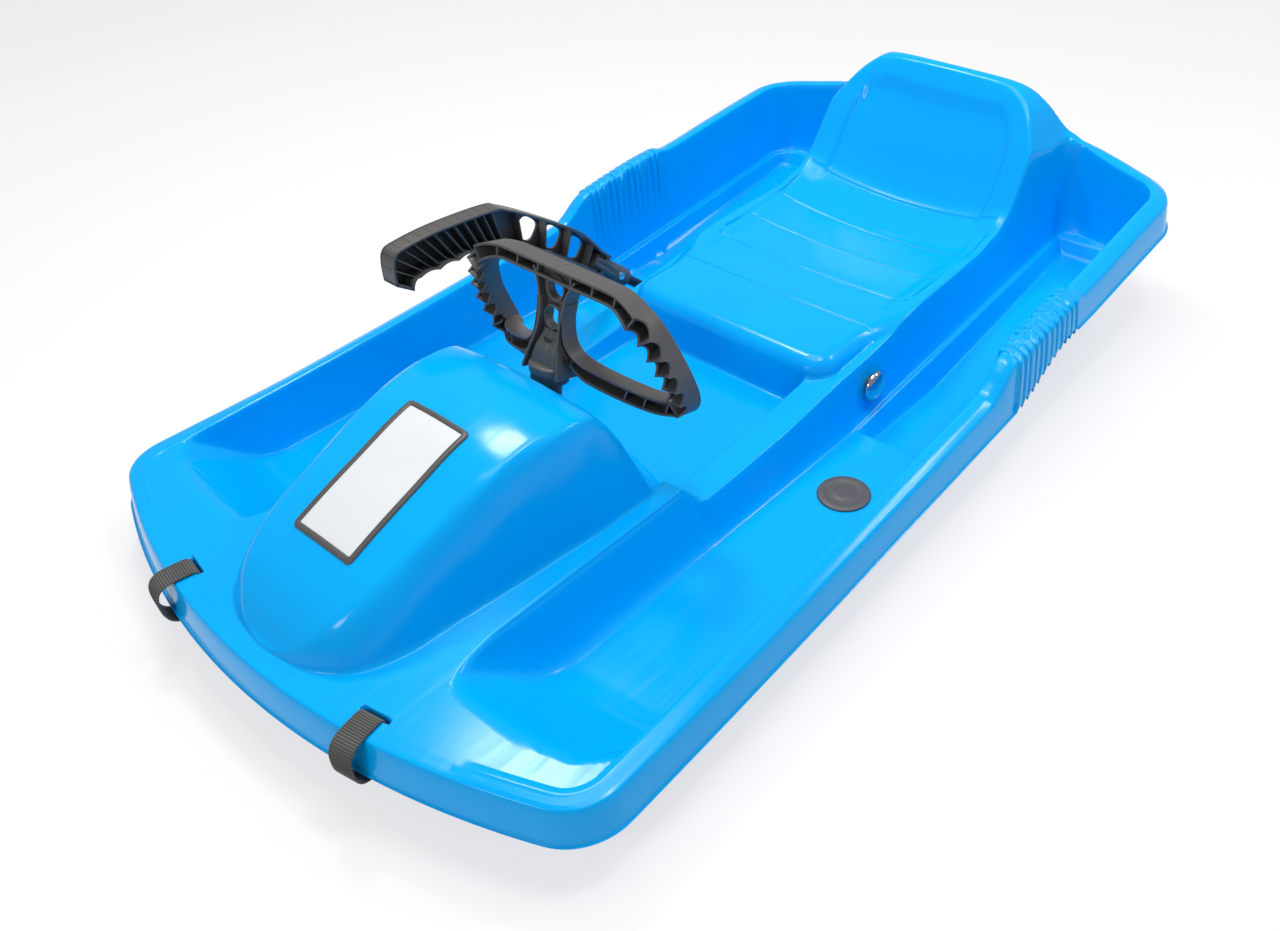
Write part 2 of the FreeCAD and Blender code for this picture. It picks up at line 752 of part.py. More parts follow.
def strap_slot(side):
    """Slot in the front deck for one strap."""
    width = size("strap_width") + 2 * size("slot_room")
    depth = size("strap_thickness") + 2 * size("slot_room")
    y = size("strap_setback") - size("hull_length") / 2
    low = size("deck_height") - size("wall") - size("overrun")
    solid = Part.makeBox(
        width,
        depth,
        size("wall") + 2 * size("overrun"),
        Vector(-width / 2, y - depth / 2, low),
    )
    solid.Placement = strap_turn(side)
    return solid


def hull_shell():
    """The whole moulding."""
    wall = size("wall")
    above_floor = across(basin_face().makeOffset2D(wall, 2))
    middle = fuse_all([bonnet_block(0), console_block(0)]).common(above_floor)
    shell = fuse_all([rim_and_floor(), middle, bonnet_dome(0)])
    for space in (bonnet_block(wall), console_block(wall), bonnet_dome(wall)):
        shell = shell.cut(space)

    ledge = size("deck_height") - wall / 2
    cup = flange_diameter() + 2 * size("seat_gap")
    adds = [axis_cylinder(cup + 2 * size("cup_wall"), -size("boss_depth"), size("cup_depth"))]
    adds += [
        Part.makeCylinder(size("post_diameter") / 2, ledge - foot.z, foot)
        for foot in post_places()
    ]
    adds.append(plate_seat(-wall, 0))
    pad = size("axle_pad_offset")
    for low, high in ((-pad, size("axle_pad_depth") - pad), (pad - size("axle_pad_depth"), pad)):
        diameter = size("axle_pad_diameter")
        adds.append(cross_cylinder(diameter, size("axle_behind"), size("axle_height"), low, high))
    shell = fuse_all([shell] + adds)

    reach = size("axle_pad_offset") + size("overrun")
    axle_hole = axle_bush_diameter() + 2 * size("axle_bush_gap")
    cuts = [
        axis_cylinder(bush_diameter(), -size("boss_depth") - size("overrun"), size("overrun")),
        axis_cylinder(cup, 0, size("wheel_rise")),
        cross_cylinder(axle_hole, size("axle_behind"), size("axle_height"), -reach, reach),
        plate_seat(0, size("overrun")),
    ]
    cuts += [
        Part.makeCylinder(size("screw_diameter") / 2, size("screw_depth"), foot)
        for foot in post_places()
    ]
    for side in SIDES.values():
        cuts.append(strap_slot(side))
        hole = size("plug_stem") / 2 + size("plug_gap")
        foot = Vector(side * size("plug_offset"), -size("plug_ahead"), 0)
        cuts.append(Part.makeCylinder(hole, size("floor_height") + size("overrun"), foot))
    for tool in cuts:
        shell = shell.cut(tool)
    return shell.removeSplitter()


def loop_sections():
    """Rectangular sections square to one hand loop's middle line, in the frame of the axis."""
    points = [
        Vector(x * size("wheel_half"), back * size("wheel_dish"), up * size("wheel_rise"))
        for x, back, up in LOOP_SHARES
    ]
    width = size("rim_bar_width") / 2
    depth = size("rim_bar_depth") / 2
    wires = []
    for index, point in enumerate(points):
        before = points[max(index - 1, 0)]
        after = points[min(index + 1, len(points) - 1)]
        along = after.sub(before).normalize()
        back = Vector(0, 1, 0)
        back = back.sub(along * back.dot(along)).normalize()
        out = along.cross(back)
        corners = [
            point + out * (a * width) + back * (b * depth)
            for a, b in ((-1, -1), (1, -1), (1, 1), (-1, 1))
        ]
        wires.append(Part.makePolygon(corners + corners[:1]))
    return wires


def steering_wheel():
    """Hub with two dished hand loops."""
    half = Part.makeLoft(loop_sections(), True, True)
    other = half.mirror(Vector(0, 0, 0), Vector(1, 0, 0))
    foot = hub_foot()
    waist = foot + size("hub_waist_rise")
    top = size("wheel_rise") * LOOP_SHARES[0][2]
    stations = (
        (foot, size("hub_half"), size("hub_depth")),
        (waist, size("hub_waist_half"), size("hub_top_depth") + size("tube_wall")),
        (top, size("hub_half"), size("hub_top_depth")),
    )
    wires = []
    for z, x, depth in stations:
        y = depth / 2
        corners = [Vector(-x, -y, z), Vector(x, -y, z), Vector(x, y, z), Vector(-x, y, z)]
        wires.append(Part.makePolygon(corners + corners[:1]))
    hub = Part.makeLoft(wires, True, True)
    wheel = fuse_all([hub, half, other])
    bore = size("tube_diameter") / 2 + size("running_gap")
    wheel = wheel.cut(Part.makeCylinder(bore, size("tube_in_hub")))
    reach = size("hub_depth")
    for index in range(2):
        z = size("hub_hole_rise") + index * size("hub_hole_pitch")
        start = Vector(0, -reach, z)
        wheel = wheel.cut(Part.makeCylinder(size("hub_hole") / 2, 2 * reach, start, Vector(0, 1, 0)))
    bolt = size("bolt_diameter") / 2 + size("running_gap")
    start = Vector(-2 * size("hub_half"), 0, size("bolt_rise"))
    wheel = wheel.cut(Part.makeCylinder(bolt, 4 * size("hub_half"), start, Vector(1, 0, 0)))
    spot = size("bolt_head") / math.sqrt(3) + size("seat_gap")
    for side in SIDES.values():
        start = Vector(side * hub_half_at_bolt(), 0, size("bolt_rise"))
        wheel = wheel.cut(Part.makeCylinder(spot, size("hub_half"), start, Vector(side, 0, 0)))
    return wheel


def hub_half_at_bolt():
    """Half width of the hub where the cross bolt passes its face."""
    share = (size("bolt_rise") - hub_foot()) / size("hub_waist_rise")
    return size("hub_half") + share * (size("hub_waist_half") - size("hub_half"))


def build_steering():
    """Wheel, column, bearings, bridge and skid."""
    place = steering_place()
    keep("steering_wheel", feature("WheelShape", steering_wheel(), place))

    low = axis_station(size("tube_end_height"))
    length = size("tube_in_hub") - low
    outer = rod("TubeOuter", "Sizes.tube_diameter", "%r" % length, at(0, 0, low))
    inner = rod("TubeInner", "Sizes.tube_diameter - 2 * Sizes.tube_wall", "%r" % length, at(0, 0, low))
    reach = size("tube_diameter")
    pin_z = axis_station(size("skid_pin_height"))
    bolt_hole = rod(
        "TubeBoltHole",
        "Sizes.bolt_diameter + 2 * Sizes.running_gap",
        "2 * Sizes.tube_diameter",
        at(-reach, 0, size("bolt_rise"), ALONG_X),
    )
    pin_hole = rod(
        "TubePinHole",
        "Sizes.skid_pin_diameter + 2 * Sizes.running_gap",
        "2 * Sizes.tube_diameter",
        at(-reach, 0, pin_z, ALONG_X),
    )
    tube = cut("ColumnTube", outer, joined("TubeSpaces", [inner, bolt_hole, pin_hole]))
    tube.Placement = place
    keep("steering_column", tube)

    face = hub_half_at_bolt()
    shank = rod(
        "BoltShank",
        "Sizes.bolt_diameter",
        "%r + 2 * Sizes.bolt_head_length" % (2 * face),
        at(-face, 0, size("bolt_rise"), ALONG_X),
    )
    head = rod(
        "BoltHead",
        "Sizes.bolt_head",
        "Sizes.bolt_head_length",
        at(-face, 0, size("bolt_rise"), AGAINST_X),
    )
    bolt = joined("WheelBolt", [shank, head])
    bolt.Placement = place
    keep("wheel_bolt", bolt)

    nut_body = bound(
        "Part::Prism",
        "NutBody",
        at(face, 0, size("bolt_rise"), ALONG_X),
        Circumradius="Sizes.bolt_head / sqrt(3)",
        Height="Sizes.bolt_head_length",
    )
    nut_bore = rod(
        "NutBore",
        "Sizes.bolt_diameter + 2 * Sizes.running_gap",
        "Sizes.bolt_head_length + 2 * Sizes.overrun",
        at(face - size("overrun"), 0, size("bolt_rise"), ALONG_X),
    )
    nut = cut("WheelNut", nut_body, nut_bore)
    nut.Placement = place
    keep("wheel_nut", nut)

    build_column_bushes(place)
    build_bridge(place)
    build_collar(place)
    build_skid(place, pin_z)


def flanged_bush(name, sleeve, flange, bore, length, thickness, start, flange_start, place):
    """A sleeve with one flange along its own Z; sizes are expressions, starts are numbers."""
    body = rod(name + "Sleeve", sleeve, length, at(0, 0, start))
    ring = rod(name + "Flange", flange, thickness, at(0, 0, flange_start))
    span = "%s + 2 * Sizes.overrun" % length
    hole = rod(name + "Bore", bore, span, at(0, 0, start - size("overrun")))
    item = cut(name, joined(name + "Body", [body, ring]), hole)
    item.Placement = place
    return item


def build_column_bushes(place):
    """Upper bush in the bonnet's boss and lower bush in the bridge's boss."""
    bore = "Sizes.tube_diameter + 2 * Sizes.running_gap"
    sleeve = bore + " + 2 * Sizes.bush_wall"
    flange = sleeve + " + 2 * Sizes.flange_width"
    upper = flanged_bush(
        "UpperBush",
        sleeve,
        flange,
        bore,
        "Sizes.boss_depth",
        "Sizes.upper_flange_thickness",
        -size("boss_depth"),
        0,
        place,
    )
    keep("upper_bush", upper)
    low = axis_station(bridge_middle().z) - size("bridge_boss_length") / 2
    lower = flanged_bush(
        "LowerBush",
        sleeve,
        flange,
        bore,
        "Sizes.bridge_boss_length",
        "Sizes.flange_thickness",
        low,
        low - size("flange_thickness"),
        place,
    )
    keep("lower_bush", lower)


def build_bridge(place):
    """Plate under the bonnet that carries the lower bush, and its screws."""
    middle = bridge_middle()
    corner = at(
        -size("bridge_length") / 2,
        middle.y - size("bridge_width") / 2,
        size("bridge_top") - size("bridge_thickness"),
    )
    plate = block(
        "BridgePlate",
        "Sizes.bridge_length",
        "Sizes.bridge_width",
        "Sizes.bridge_thickness",
        corner,
    )
    low = axis_station(middle.z) - size("bridge_boss_length") / 2
    sleeve = "Sizes.tube_diameter + 2 * Sizes.running_gap + 2 * Sizes.bush_wall"
    boss = rod(
        "BridgeBoss",
        sleeve + " + 2 * Sizes.flange_width",
        "Sizes.bridge_boss_length",
        place.multiply(at(0, 0, low)),
    )
    bore = rod(
        "BridgeBore",
        sleeve,
        "Sizes.bridge_boss_length + 2 * Sizes.overrun",
        place.multiply(at(0, 0, low - size("overrun"))),
    )
    holes = [bore]
    screws = []
    for index, foot in enumerate(post_places(), start=1):
        under = foot.z - size("bridge_thickness")
        holes.append(rod(
            "BridgeHole%d" % index,
            "Sizes.screw_diameter + 2 * Sizes.running_gap",
            "Sizes.bridge_thickness + 2 * Sizes.overrun",
            at(foot.x, foot.y, under - size("overrun")),
        ))
        shank = rod(
            "ScrewShank%d" % index,
            "Sizes.screw_diameter",
            "Sizes.bridge_thickness + Sizes.screw_depth",
            at(foot.x, foot.y, under),
        )
        head = rod(
            "ScrewHead%d" % index,
            "Sizes.screw_head",
            "Sizes.screw_head_length",
            at(foot.x, foot.y, under - size("screw_head_length")),
        )
        screws.append(joined("Screw%d" % index, [shank, head]))
    bridge = cut("Bridge", joined("BridgeBody", [plate, boss]), joined("BridgeHoles", holes))
    keep("steering_bridge", bridge)
    group = doc.addObject("Part::Compound", "BridgeScrews")
    group.Links = screws
    keep("bridge_screws", group)


def build_collar(place):
    """Stop collar above the bridge and its grub screw."""
    low = axis_station(bridge_middle().z) + size("bridge_boss_length") / 2 + size("seat_gap")
    body = rod("CollarBody", "Sizes.collar_diameter", "Sizes.collar_length", at(0, 0, low))
    bore = rod(
        "CollarBore",
        "Sizes.tube_diameter + 2 * Sizes.running_gap",
        "Sizes.collar_length + 2 * Sizes.overrun",
        at(0, 0, low - size("overrun")),
    )
    middle = low + size("collar_length") / 2
    screw_start = size("tube_diameter") / 2 + size("running_gap")
    thread = rod(
        "CollarThread",
        "Sizes.screw_diameter + 2 * Sizes.running_gap",
        "Sizes.collar_diameter",
        at(0, screw_start, middle, ALONG_Y),
    )
    collar = cut("Collar", body, joined("CollarSpaces", [bore, thread]))
    collar.Placement = place
    keep("column_collar", collar)
    length = "(Sizes.collar_diameter - Sizes.tube_diameter) / 2 - Sizes.running_gap"
    screw = rod("CollarScrew", "Sizes.screw_diameter", length, at(0, 0, 0))
    screw.Placement = place.multiply(at(0, screw_start, middle, ALONG_Y))
    keep("collar_screw", screw)


def build_skid(place, pin_z):
    """Steered runner on the foot of the column and its cross pin."""
    ahead = size("skid_length") * size("skid_ahead_share")
    lean = math.tan(math.radians(size("column_rake")))
    foot = -size("axis_ahead") - size("axis_height") * lean
    front = foot - ahead
    rear = front + size("skid_length")
    rise = size("skid_nose_rise")
    height = size("skid_height")
    profile = side_face([
        (front, rise),
        (front + 2 * rise, 0),
        (rear - height, 0),
        (rear, height),
        (front + 2 * rise, height),
        (front + rise / 2, height + rise / 2),
    ])
    width = size("skid_width")
    body = profile.extrude(Vector(width, 0, 0)).translated(Vector(-width / 2, 0, 0))
    top = axis_station(bridge_middle().z) - size("bridge_boss_length") / 2
    top -= size("flange_thickness") + size("seat_gap")
    low = axis_station(0) - size("overrun")
    outside = size("tube_diameter") + 2 * size("skid_boss_wall")
    socket = axis_cylinder(outside, low, top)
    ground = Part.makeBox(
        2 * outside,
        2 * outside,
        size("bridge_top"),
        Vector(-outside, foot - outside, 0),
    )
    skid = body.fuse(socket.common(ground))
    bore = size("tube_diameter") + 2 * size("running_gap")
    tube_end = axis_station(size("tube_end_height"))
    skid = skid.cut(axis_cylinder(bore, tube_end, top + size("overrun")))
    pin = Part.makeCylinder(
        size("skid_pin_diameter") / 2 + size("running_gap"),
        2 * outside,
        Vector(-outside, 0, pin_z),
        Vector(1, 0, 0),
    )
    pin.Placement = place
    keep("front_skid", feature("SkidShape", skid.cut(pin)))
    length = "Sizes.tube_diameter + 2 * Sizes.skid_boss_wall"
    cross_pin = rod("SkidPin", "Sizes.skid_pin_diameter", length, at(0, 0, 0))
    cross_pin.Placement = place.multiply(at(-outside / 2, 0, pin_z, ALONG_X))
    keep("skid_pin", cross_pin)


def lever_point(along):
    """A point on the middle line of the lever's arm."""
    angle = math.radians(size("lever_angle"))
    return Vector(
        -size("lever_offset"),
        size("axle_behind") - along * math.cos(angle),
        size("axle_height") + along * math.sin(angle),
    )


def brake_rod():
    """One steel rod: the lever's arm, a bend and the cross axle."""
    radius = size("rod_diameter") / 2
    bend = size("rod_bend")
    start = lever_point(size("rod_in_handle"))
    before = lever_point(bend)
    corner = lever_point(0)
    after = corner + Vector(bend, 0, 0)
    centre = before + Vector(bend, 0, 0)
    middle = centre + corner.sub(centre).normalize() * bend
    end = Vector(cap_start() + size("cap_grip"), corner.y, corner.z)
    path = Part.Wire([
        Part.LineSegment(start, before).toShape(),
        Part.Arc(before, middle, after).toShape(),
        Part.LineSegment(after, end).toShape(),
    ])
    ring = Part.Wire([Part.Circle(start, before.sub(start), radius).toShape()])
    solid = path.makePipeShell([ring], True, False)
    reach = size("handle_thickness")
    hole = size("handle_screw_diameter") / 2 + size("running_gap")
    place = lever_point(size("handle_screw_along"))
    solid = solid.cut(Part.makeCylinder(hole, 2 * reach, place - Vector(reach, 0, 0), Vector(1, 0, 0)))
    for tool in claw_bolt_cylinders(size("running_gap")):
        solid = solid.cut(tool)
    return solid


def claw_turn():
    """Frame of the scraper: origin on the axle, Y towards its teeth, Z out of the plate."""
    turn = Rotation(Vector(1, 0, 0), -size("claw_droop"))
    return at(0, size("axle_behind"), size("axle_height"), turn)


def claw_sleeve():
    """Outside of the scraper's sleeve."""
    return size("rod_diameter") + 2 * size("running_gap") + 2 * size("claw_hub_wall")


def claw_bolt_cylinders(room):
    """The two bolts through sleeve and axle, with room around them."""
    radius = size("claw_bolt_diameter") / 2 + room
    half = claw_sleeve() / 2
    tools = []
    for side in SIDES.values():
        tool = Part.makeCylinder(radius, 2 * half, Vector(side * size("claw_bolt_offset"), 0, -half))
        tool.Placement = claw_turn()
        tools.append(tool)
    return tools


def brake_claw():
    """Toothed scraper plate on a sleeve."""
    width = size("claw_width")
    length = size("claw_length")
    root = length - size("claw_tooth")
    teeth = int(size("claw_teeth"))
    points = [Vector(-width / 2, 0, 0)]
    for index in range(teeth):
        x = -width / 2 + index * width / teeth
        points.append(Vector(x, root, 0))
        points.append(Vector(x + width / teeth / 2, length, 0))
    points += [Vector(width / 2, root, 0), Vector(width / 2, 0, 0)]
    thickness = size("claw_thickness")
    plate = polygon_face(points).extrude(Vector(0, 0, thickness)).translated(Vector(0, 0, -thickness / 2))
    sleeve = Part.makeCylinder(claw_sleeve() / 2, width, Vector(-width / 2, 0, 0), Vector(1, 0, 0))
    bore = size("rod_diameter") / 2 + size("running_gap")
    solid = plate.fuse(sleeve)
    solid = solid.cut(Part.makeCylinder(bore, 2 * width, Vector(-width, 0, 0), Vector(1, 0, 0)))
    solid.Placement = claw_turn()
    for tool in claw_bolt_cylinders(size("running_gap")):
        solid = solid.cut(tool)
    return solid


def cap_start():
    """Inner face of the push-on cap."""
    flange = size("axle_pad_offset") + size("axle_flange_thickness")
    return flange + size("seat_gap") + size("washer_thickness")


def brake_handle():
    """Moulded handle over the end of the rod."""
    outline = [
        Vector(
            -size("lever_offset") - size("handle_thickness") / 2,
            size("axle_behind") - ahead * size("handle_reach"),
            size("axle_height") + up * size("handle_rise"),
        )
        for ahead, up in HANDLE_SHARES
    ]
    solid = polygon_face(outline).extrude(Vector(size("handle_thickness"), 0, 0))
    reach = size("handle_thickness")
    for index in range(3):
        along = size("handle_hole_along") + index * size("handle_hole_pitch")
        start = lever_point(along) - Vector(reach, 0, 0)
        solid = solid.cut(Part.makeCylinder(size("handle_hole") / 2, 2 * reach, start, Vector(1, 0, 0)))
    top = lever_point(size("rod_in_handle"))
    foot = lever_point(0)
    bore = size("rod_diameter") / 2 + size("running_gap")
    solid = solid.cut(Part.makeCylinder(bore, top.sub(foot).Length, foot, top.sub(foot)))
    screw = lever_point(size("handle_screw_along")) - Vector(reach, 0, 0)
    hole = size("handle_screw_diameter") / 2 + size("running_gap")
    return solid.cut(Part.makeCylinder(hole, 2 * reach, screw, Vector(1, 0, 0)))


def build_brake():
    """Lever, axle, bearings and scraper."""
    keep("brake_rod", feature("RodShape", brake_rod()))
    keep("brake_handle", feature("HandleShape", brake_handle()))
    keep("brake_claw", feature("ClawShape", brake_claw()))

    start = lever_point(size("handle_screw_along"))
    back = start.x - size("handle_thickness") / 2
    shank = rod(
        "HandleScrewShank",
        "Sizes.handle_screw_diameter",
        "Sizes.handle_thickness",
        at(back, start.y, start.z, ALONG_X),
    )
    head = rod(
        "HandleScrewHead",
        "Sizes.handle_screw_head",
        "Sizes.handle_screw_head_length",
        at(back + size("handle_thickness"), start.y, start.z, ALONG_X),
    )
    keep("handle_screw", joined("HandleScrew", [shank, head]))

    bolts = []
    for side_name, side in SIDES.items():
        half = claw_sleeve() / 2
        bolt = rod(
            "ClawBolt" + side_name.title(),
            "Sizes.claw_bolt_diameter",
            "%r" % (2 * half),
            claw_turn().multiply(at(side * size("claw_bolt_offset"), 0, -half)),
        )
        bolts.append(bolt)
    group = doc.addObject("Part::Compound", "ClawBolts")
    group.Links = bolts
    keep("claw_bolts", group)

    bore = "Sizes.rod_diameter + 2 * Sizes.running_gap"
    sleeve = bore + " + 2 * Sizes.axle_bush_wall"
    for side_name, side in SIDES.items():
        turn = ALONG_X if side > 0 else AGAINST_X
        face = side * size("axle_pad_offset")
        bush = flanged_bush(
            "AxleBush" + side_name.title(),
            sleeve,
            sleeve + " + 2 * Sizes.axle_flange_width",
            bore,
            "Sizes.axle_pad_depth",
            "Sizes.axle_flange_thickness",
            -size("axle_pad_depth"),
            0,
            at(face, size("axle_behind"), size("axle_height"), turn),
        )
        keep("axle_bush_" + side_name, bush)

    washer_start = cap_start() - size("washer_thickness")
    ring = rod(
        "WasherRing",
        "Sizes.rod_diameter + 2 * Sizes.washer_width",
        "Sizes.washer_thickness",
        at(washer_start, size("axle_behind"), size("axle_height"), ALONG_X),
    )
    hole = rod(
        "WasherHole",
        "Sizes.rod_diameter + 2 * Sizes.running_gap",
        "Sizes.washer_thickness + 2 * Sizes.overrun",
        at(washer_start - size("overrun"), size("axle_behind"), size("axle_height"), ALONG_X),
    )
    keep("axle_washer", cut("Washer", ring, hole))

    half = size("cap_diameter") / 2
    rise = size("cap_height")
    dome_radius = (half ** 2 + rise ** 2) / (2 * rise)
    place = at(cap_start(), size("axle_behind"), size("axle_height"), ALONG_X)
    ball = bound(
        "Part::Sphere",
        "CapBall",
        place.multiply(at(0, 0, rise - dome_radius)),
        Radius="%r" % dome_radius,
    )
    drum = rod("CapDrum", "Sizes.cap_diameter", "Sizes.cap_height", place)
    socket = rod(
        "CapSocket",
        "Sizes.rod_diameter + 2 * Sizes.running_gap",
        "Sizes.cap_grip + Sizes.overrun",
        place.multiply(at(0, 0, -size("overrun"))),
    )
    keep("axle_cap", cut("Cap", shared("CapDome", [ball, drum]), socket))


def build_plugs():
    """Blind plugs in the footwell floors."""
    for side_name, side in SIDES.items():
        name = "Plug" + side_name.title()
        place = at(side * size("plug_offset"), -size("plug_ahead"), size("floor_height"))
        head = rod(name + "Head", "Sizes.plug_head", "Sizes.plug_head_thickness", place)
        dish = rod(
            name + "Dish",
            "Sizes.plug_dish",
            "Sizes.plug_dish_depth + Sizes.overrun",
            place.multiply(at(0, 0, size("plug_head_thickness") - size("plug_dish_depth"))),
        )
        stem = rod(name + "Stem", "Sizes.plug_stem", "Sizes.wall", place.multiply(at(0, 0, -size("wall"))))
        keep("floor_plug_" + side_name, joined(name, [cut(name + "Top", head, dish), stem]))


def build_plate():
    """Frame on the bonnet and the plain plate in it."""
    place = plate_place()
    half_width = size("plate_width") / 2
    half_length = size("plate_length") / 2
    outer = block(
        "FrameOuter",
        "Sizes.plate_width",
        "Sizes.plate_length",
        "Sizes.plate_frame_depth",
        at(-half_width, -half_length, 0),
    )
    border = size("plate_border")
    floor = size("plate_frame_depth") - size("plate_recess")
    recess = block(
        "FrameRecess",
        "Sizes.plate_width - 2 * Sizes.plate_border",
        "Sizes.plate_length - 2 * Sizes.plate_border",
        "Sizes.plate_recess + Sizes.overrun",
        at(border - half_width, border - half_length, floor),
    )
    frame = cut("PlateFrame", outer, recess)
    frame.Placement = place
    keep("plate_frame", frame)
    inset = border + size("plate_gap")
    room = "2 * (Sizes.plate_border + Sizes.plate_gap)"
    plate = block(
        "PlateBlank",
        "Sizes.plate_width - " + room,
        "Sizes.plate_length - " + room,
        "Sizes.plate_thickness",
        place.multiply(at(inset - half_width, inset - half_length, floor)),
    )
    keep("plate", plate)


def rounded_face(low, high, radius):
    """A rounded rectangle in the plane X = 0 between two (y, z) corners."""
    corners = [(low[0], low[1]), (high[0], low[1]), (high[0], high[1]), (low[0], high[1])]
    prism = side_face(corners).extrude(Vector(1, 0, 0))
    rails = [edge for edge in prism.Edges if edge.Vertexes[0].X != edge.Vertexes[1].X]
    prism = prism.makeFillet(radius, rails)
    return [face for face in prism.Faces if face.CenterOfMass.x == 0][0]


def tow_strap():
    """A webbing loop through the deck's slot and round the skirt."""
    front = -size("hull_length") / 2
    thickness = size("strap_thickness")
    bend = size("strap_bend")
    low = (front - size("strap_play"), size("deck_height") - size("skirt_depth") - size("strap_play"))
    high = (front + size("strap_setback") - thickness / 2, size("deck_height") + size("strap_gap"))
    inner = rounded_face(low, high, bend)
    outer_low = (low[0] - thickness, low[1] - thickness)
    outer_high = (high[0] + thickness, high[1] + thickness)
    ring = rounded_face(outer_low, outer_high, bend + thickness).cut(inner)
    width = size("strap_width")
    return ring.translated(Vector(-width / 2, 0, 0)).extrude(Vector(width, 0, 0)).Solids[0]


def build_straps():
    """Both webbing loops on the front deck."""
    for side_name, side in SIDES.items():
        name = "Strap" + side_name.title()
        keep("tow_strap_" + side_name, feature(name, tow_strap(), strap_turn(side)))


def check_document():
    """Stops the build at the first failed object or unsound shape."""
    doc.recompute()
    for item in doc.Objects:
        if "Invalid" in item.State or "Error" in item.State:
            raise RuntimeError("%s is in state %s" % (item.Name, item.State))
    for label, item in NODES.items():
        if item.Shape.isNull() or not item.Shape.isValid():
            raise RuntimeError("%s has no sound shape" % label)
        if not item.Shape.Solids:
            raise RuntimeError("%s holds no solid" % label)


def write_parts():
    """Writes one file for each node."""
    os.makedirs("parts", exist_ok=True)
    for label, item in NODES.items():
        item.Shape.exportStep("parts/%s.step" % label)
        box = item.Shape.BoundBox
        print("%s solids %d volume %.0f" % (label, len(item.Shape.Solids), item.Shape.Volume), box)


def main():
    """Builds, checks and writes the sled."""
    fill_sheet()
    keep("hull_shell", feature("HullShape", hull_shell()))
    build_steering()
    build_brake()
    build_plugs()
    build_plate()
    build_straps()
    check_document()
    write_parts()


main()
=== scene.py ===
import json
import logging
import math
from dataclasses import dataclass
from enum import Enum
from typing import Optional, Sequence

import bpy
import numpy as np
from mathutils import Matrix, Vector
from mathutils.geometry import delaunay_2d_cdt


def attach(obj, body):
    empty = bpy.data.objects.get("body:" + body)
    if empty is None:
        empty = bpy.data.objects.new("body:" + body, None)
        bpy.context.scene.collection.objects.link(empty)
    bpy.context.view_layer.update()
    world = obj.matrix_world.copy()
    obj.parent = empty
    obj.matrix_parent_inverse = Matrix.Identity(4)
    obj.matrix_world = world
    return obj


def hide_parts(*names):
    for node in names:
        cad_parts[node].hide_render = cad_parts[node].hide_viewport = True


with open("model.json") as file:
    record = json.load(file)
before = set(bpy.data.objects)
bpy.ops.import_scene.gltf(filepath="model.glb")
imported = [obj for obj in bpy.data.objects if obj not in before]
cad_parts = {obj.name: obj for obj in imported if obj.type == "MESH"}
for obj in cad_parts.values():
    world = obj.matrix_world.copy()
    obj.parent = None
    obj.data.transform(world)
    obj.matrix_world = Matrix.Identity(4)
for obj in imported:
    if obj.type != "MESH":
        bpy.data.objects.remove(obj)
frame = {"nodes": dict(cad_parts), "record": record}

Array = np.ndarray
Table = Sequence[Sequence[float]]
MM = 0.001
STRETCH_STEPS = 24
BEVEL_STEPS = 2
BEVEL_ANGLE = 35
log = logging.getLogger("sled")


class Body(Enum):
    """Bodies of the frame that pieces ride on."""

    HULL = "hull"
    STEERING = "steering"
    BRAKE = "brake"


class Pattern(Enum):
    """Kinds of surface detail."""

    GRAINED = "grained"
    BRUSHED = "brushed"
    WOVEN = "woven"


# Fields and curves


def soft_min(a: Array, b: Array, k: float) -> Array:
    """Smaller of two fields, run together where they differ by under k: a h + b (1 - h) - k h (1 - h)."""
    h = np.clip(0.5 + 0.5 * (b - a) / k, 0.0, 1.0)
    return b * (1 - h) + a * h - k * h * (1 - h)


def soft_max(a: Array, b: Array, k: float) -> Array:
    """Larger of two fields, run into each other where they differ by less than k."""
    return -soft_min(-a, -b, k)


def ease(x: Array, low: float, high: float) -> Array:
    """Smooth step 3t^2 - 2t^3 from 0 at low to 1 at high."""
    t = np.clip((x - low) / (high - low), 0.0, 1.0)
    return t * t * (3 - 2 * t)


def band(x: Array, rise: Sequence[float], fall: Sequence[float]) -> Array:
    """Smooth window, from 0 to 1 over the first span and back to 0 over the second."""
    return ease(x, *rise) * (1 - ease(x, *fall))


def curve(points: Table, x: Array) -> Array:
    """Monotone cubic through (x, value) points.

    Hermite pieces whose slopes are the harmonic mean of the neighbouring chords, or 0 at a turn.

    Args:
        points: pairs in rising x.
        x: where the value is wanted.

    Returns:
        Values at x.
    """
    px, pv = np.asarray(points, float).T
    step = np.diff(px)
    chord = np.diff(pv) / step
    slope = np.zeros_like(pv)
    same = chord[:-1] * chord[1:] > 0
    safe = np.where(same, chord[:-1] + chord[1:], 1.0)
    slope[1:-1] = np.where(same, 2 * chord[:-1] * chord[1:] / safe, 0.0)
    slope[0], slope[-1] = chord[0], chord[-1]
    x = np.clip(x, px[0], px[-1])
    i = np.clip(np.searchsorted(px, x, side="right") - 1, 0, len(step) - 1)
    h = step[i]
    t = (x - px[i]) / h
    return (
        (2 * t ** 3 - 3 * t ** 2 + 1) * pv[i]
        + (t ** 3 - 2 * t ** 2 + t) * h * slope[i]
        + (3 * t ** 2 - 2 * t ** 3) * pv[i + 1]
        + (t ** 3 - t ** 2) * h * slope[i + 1]
    )


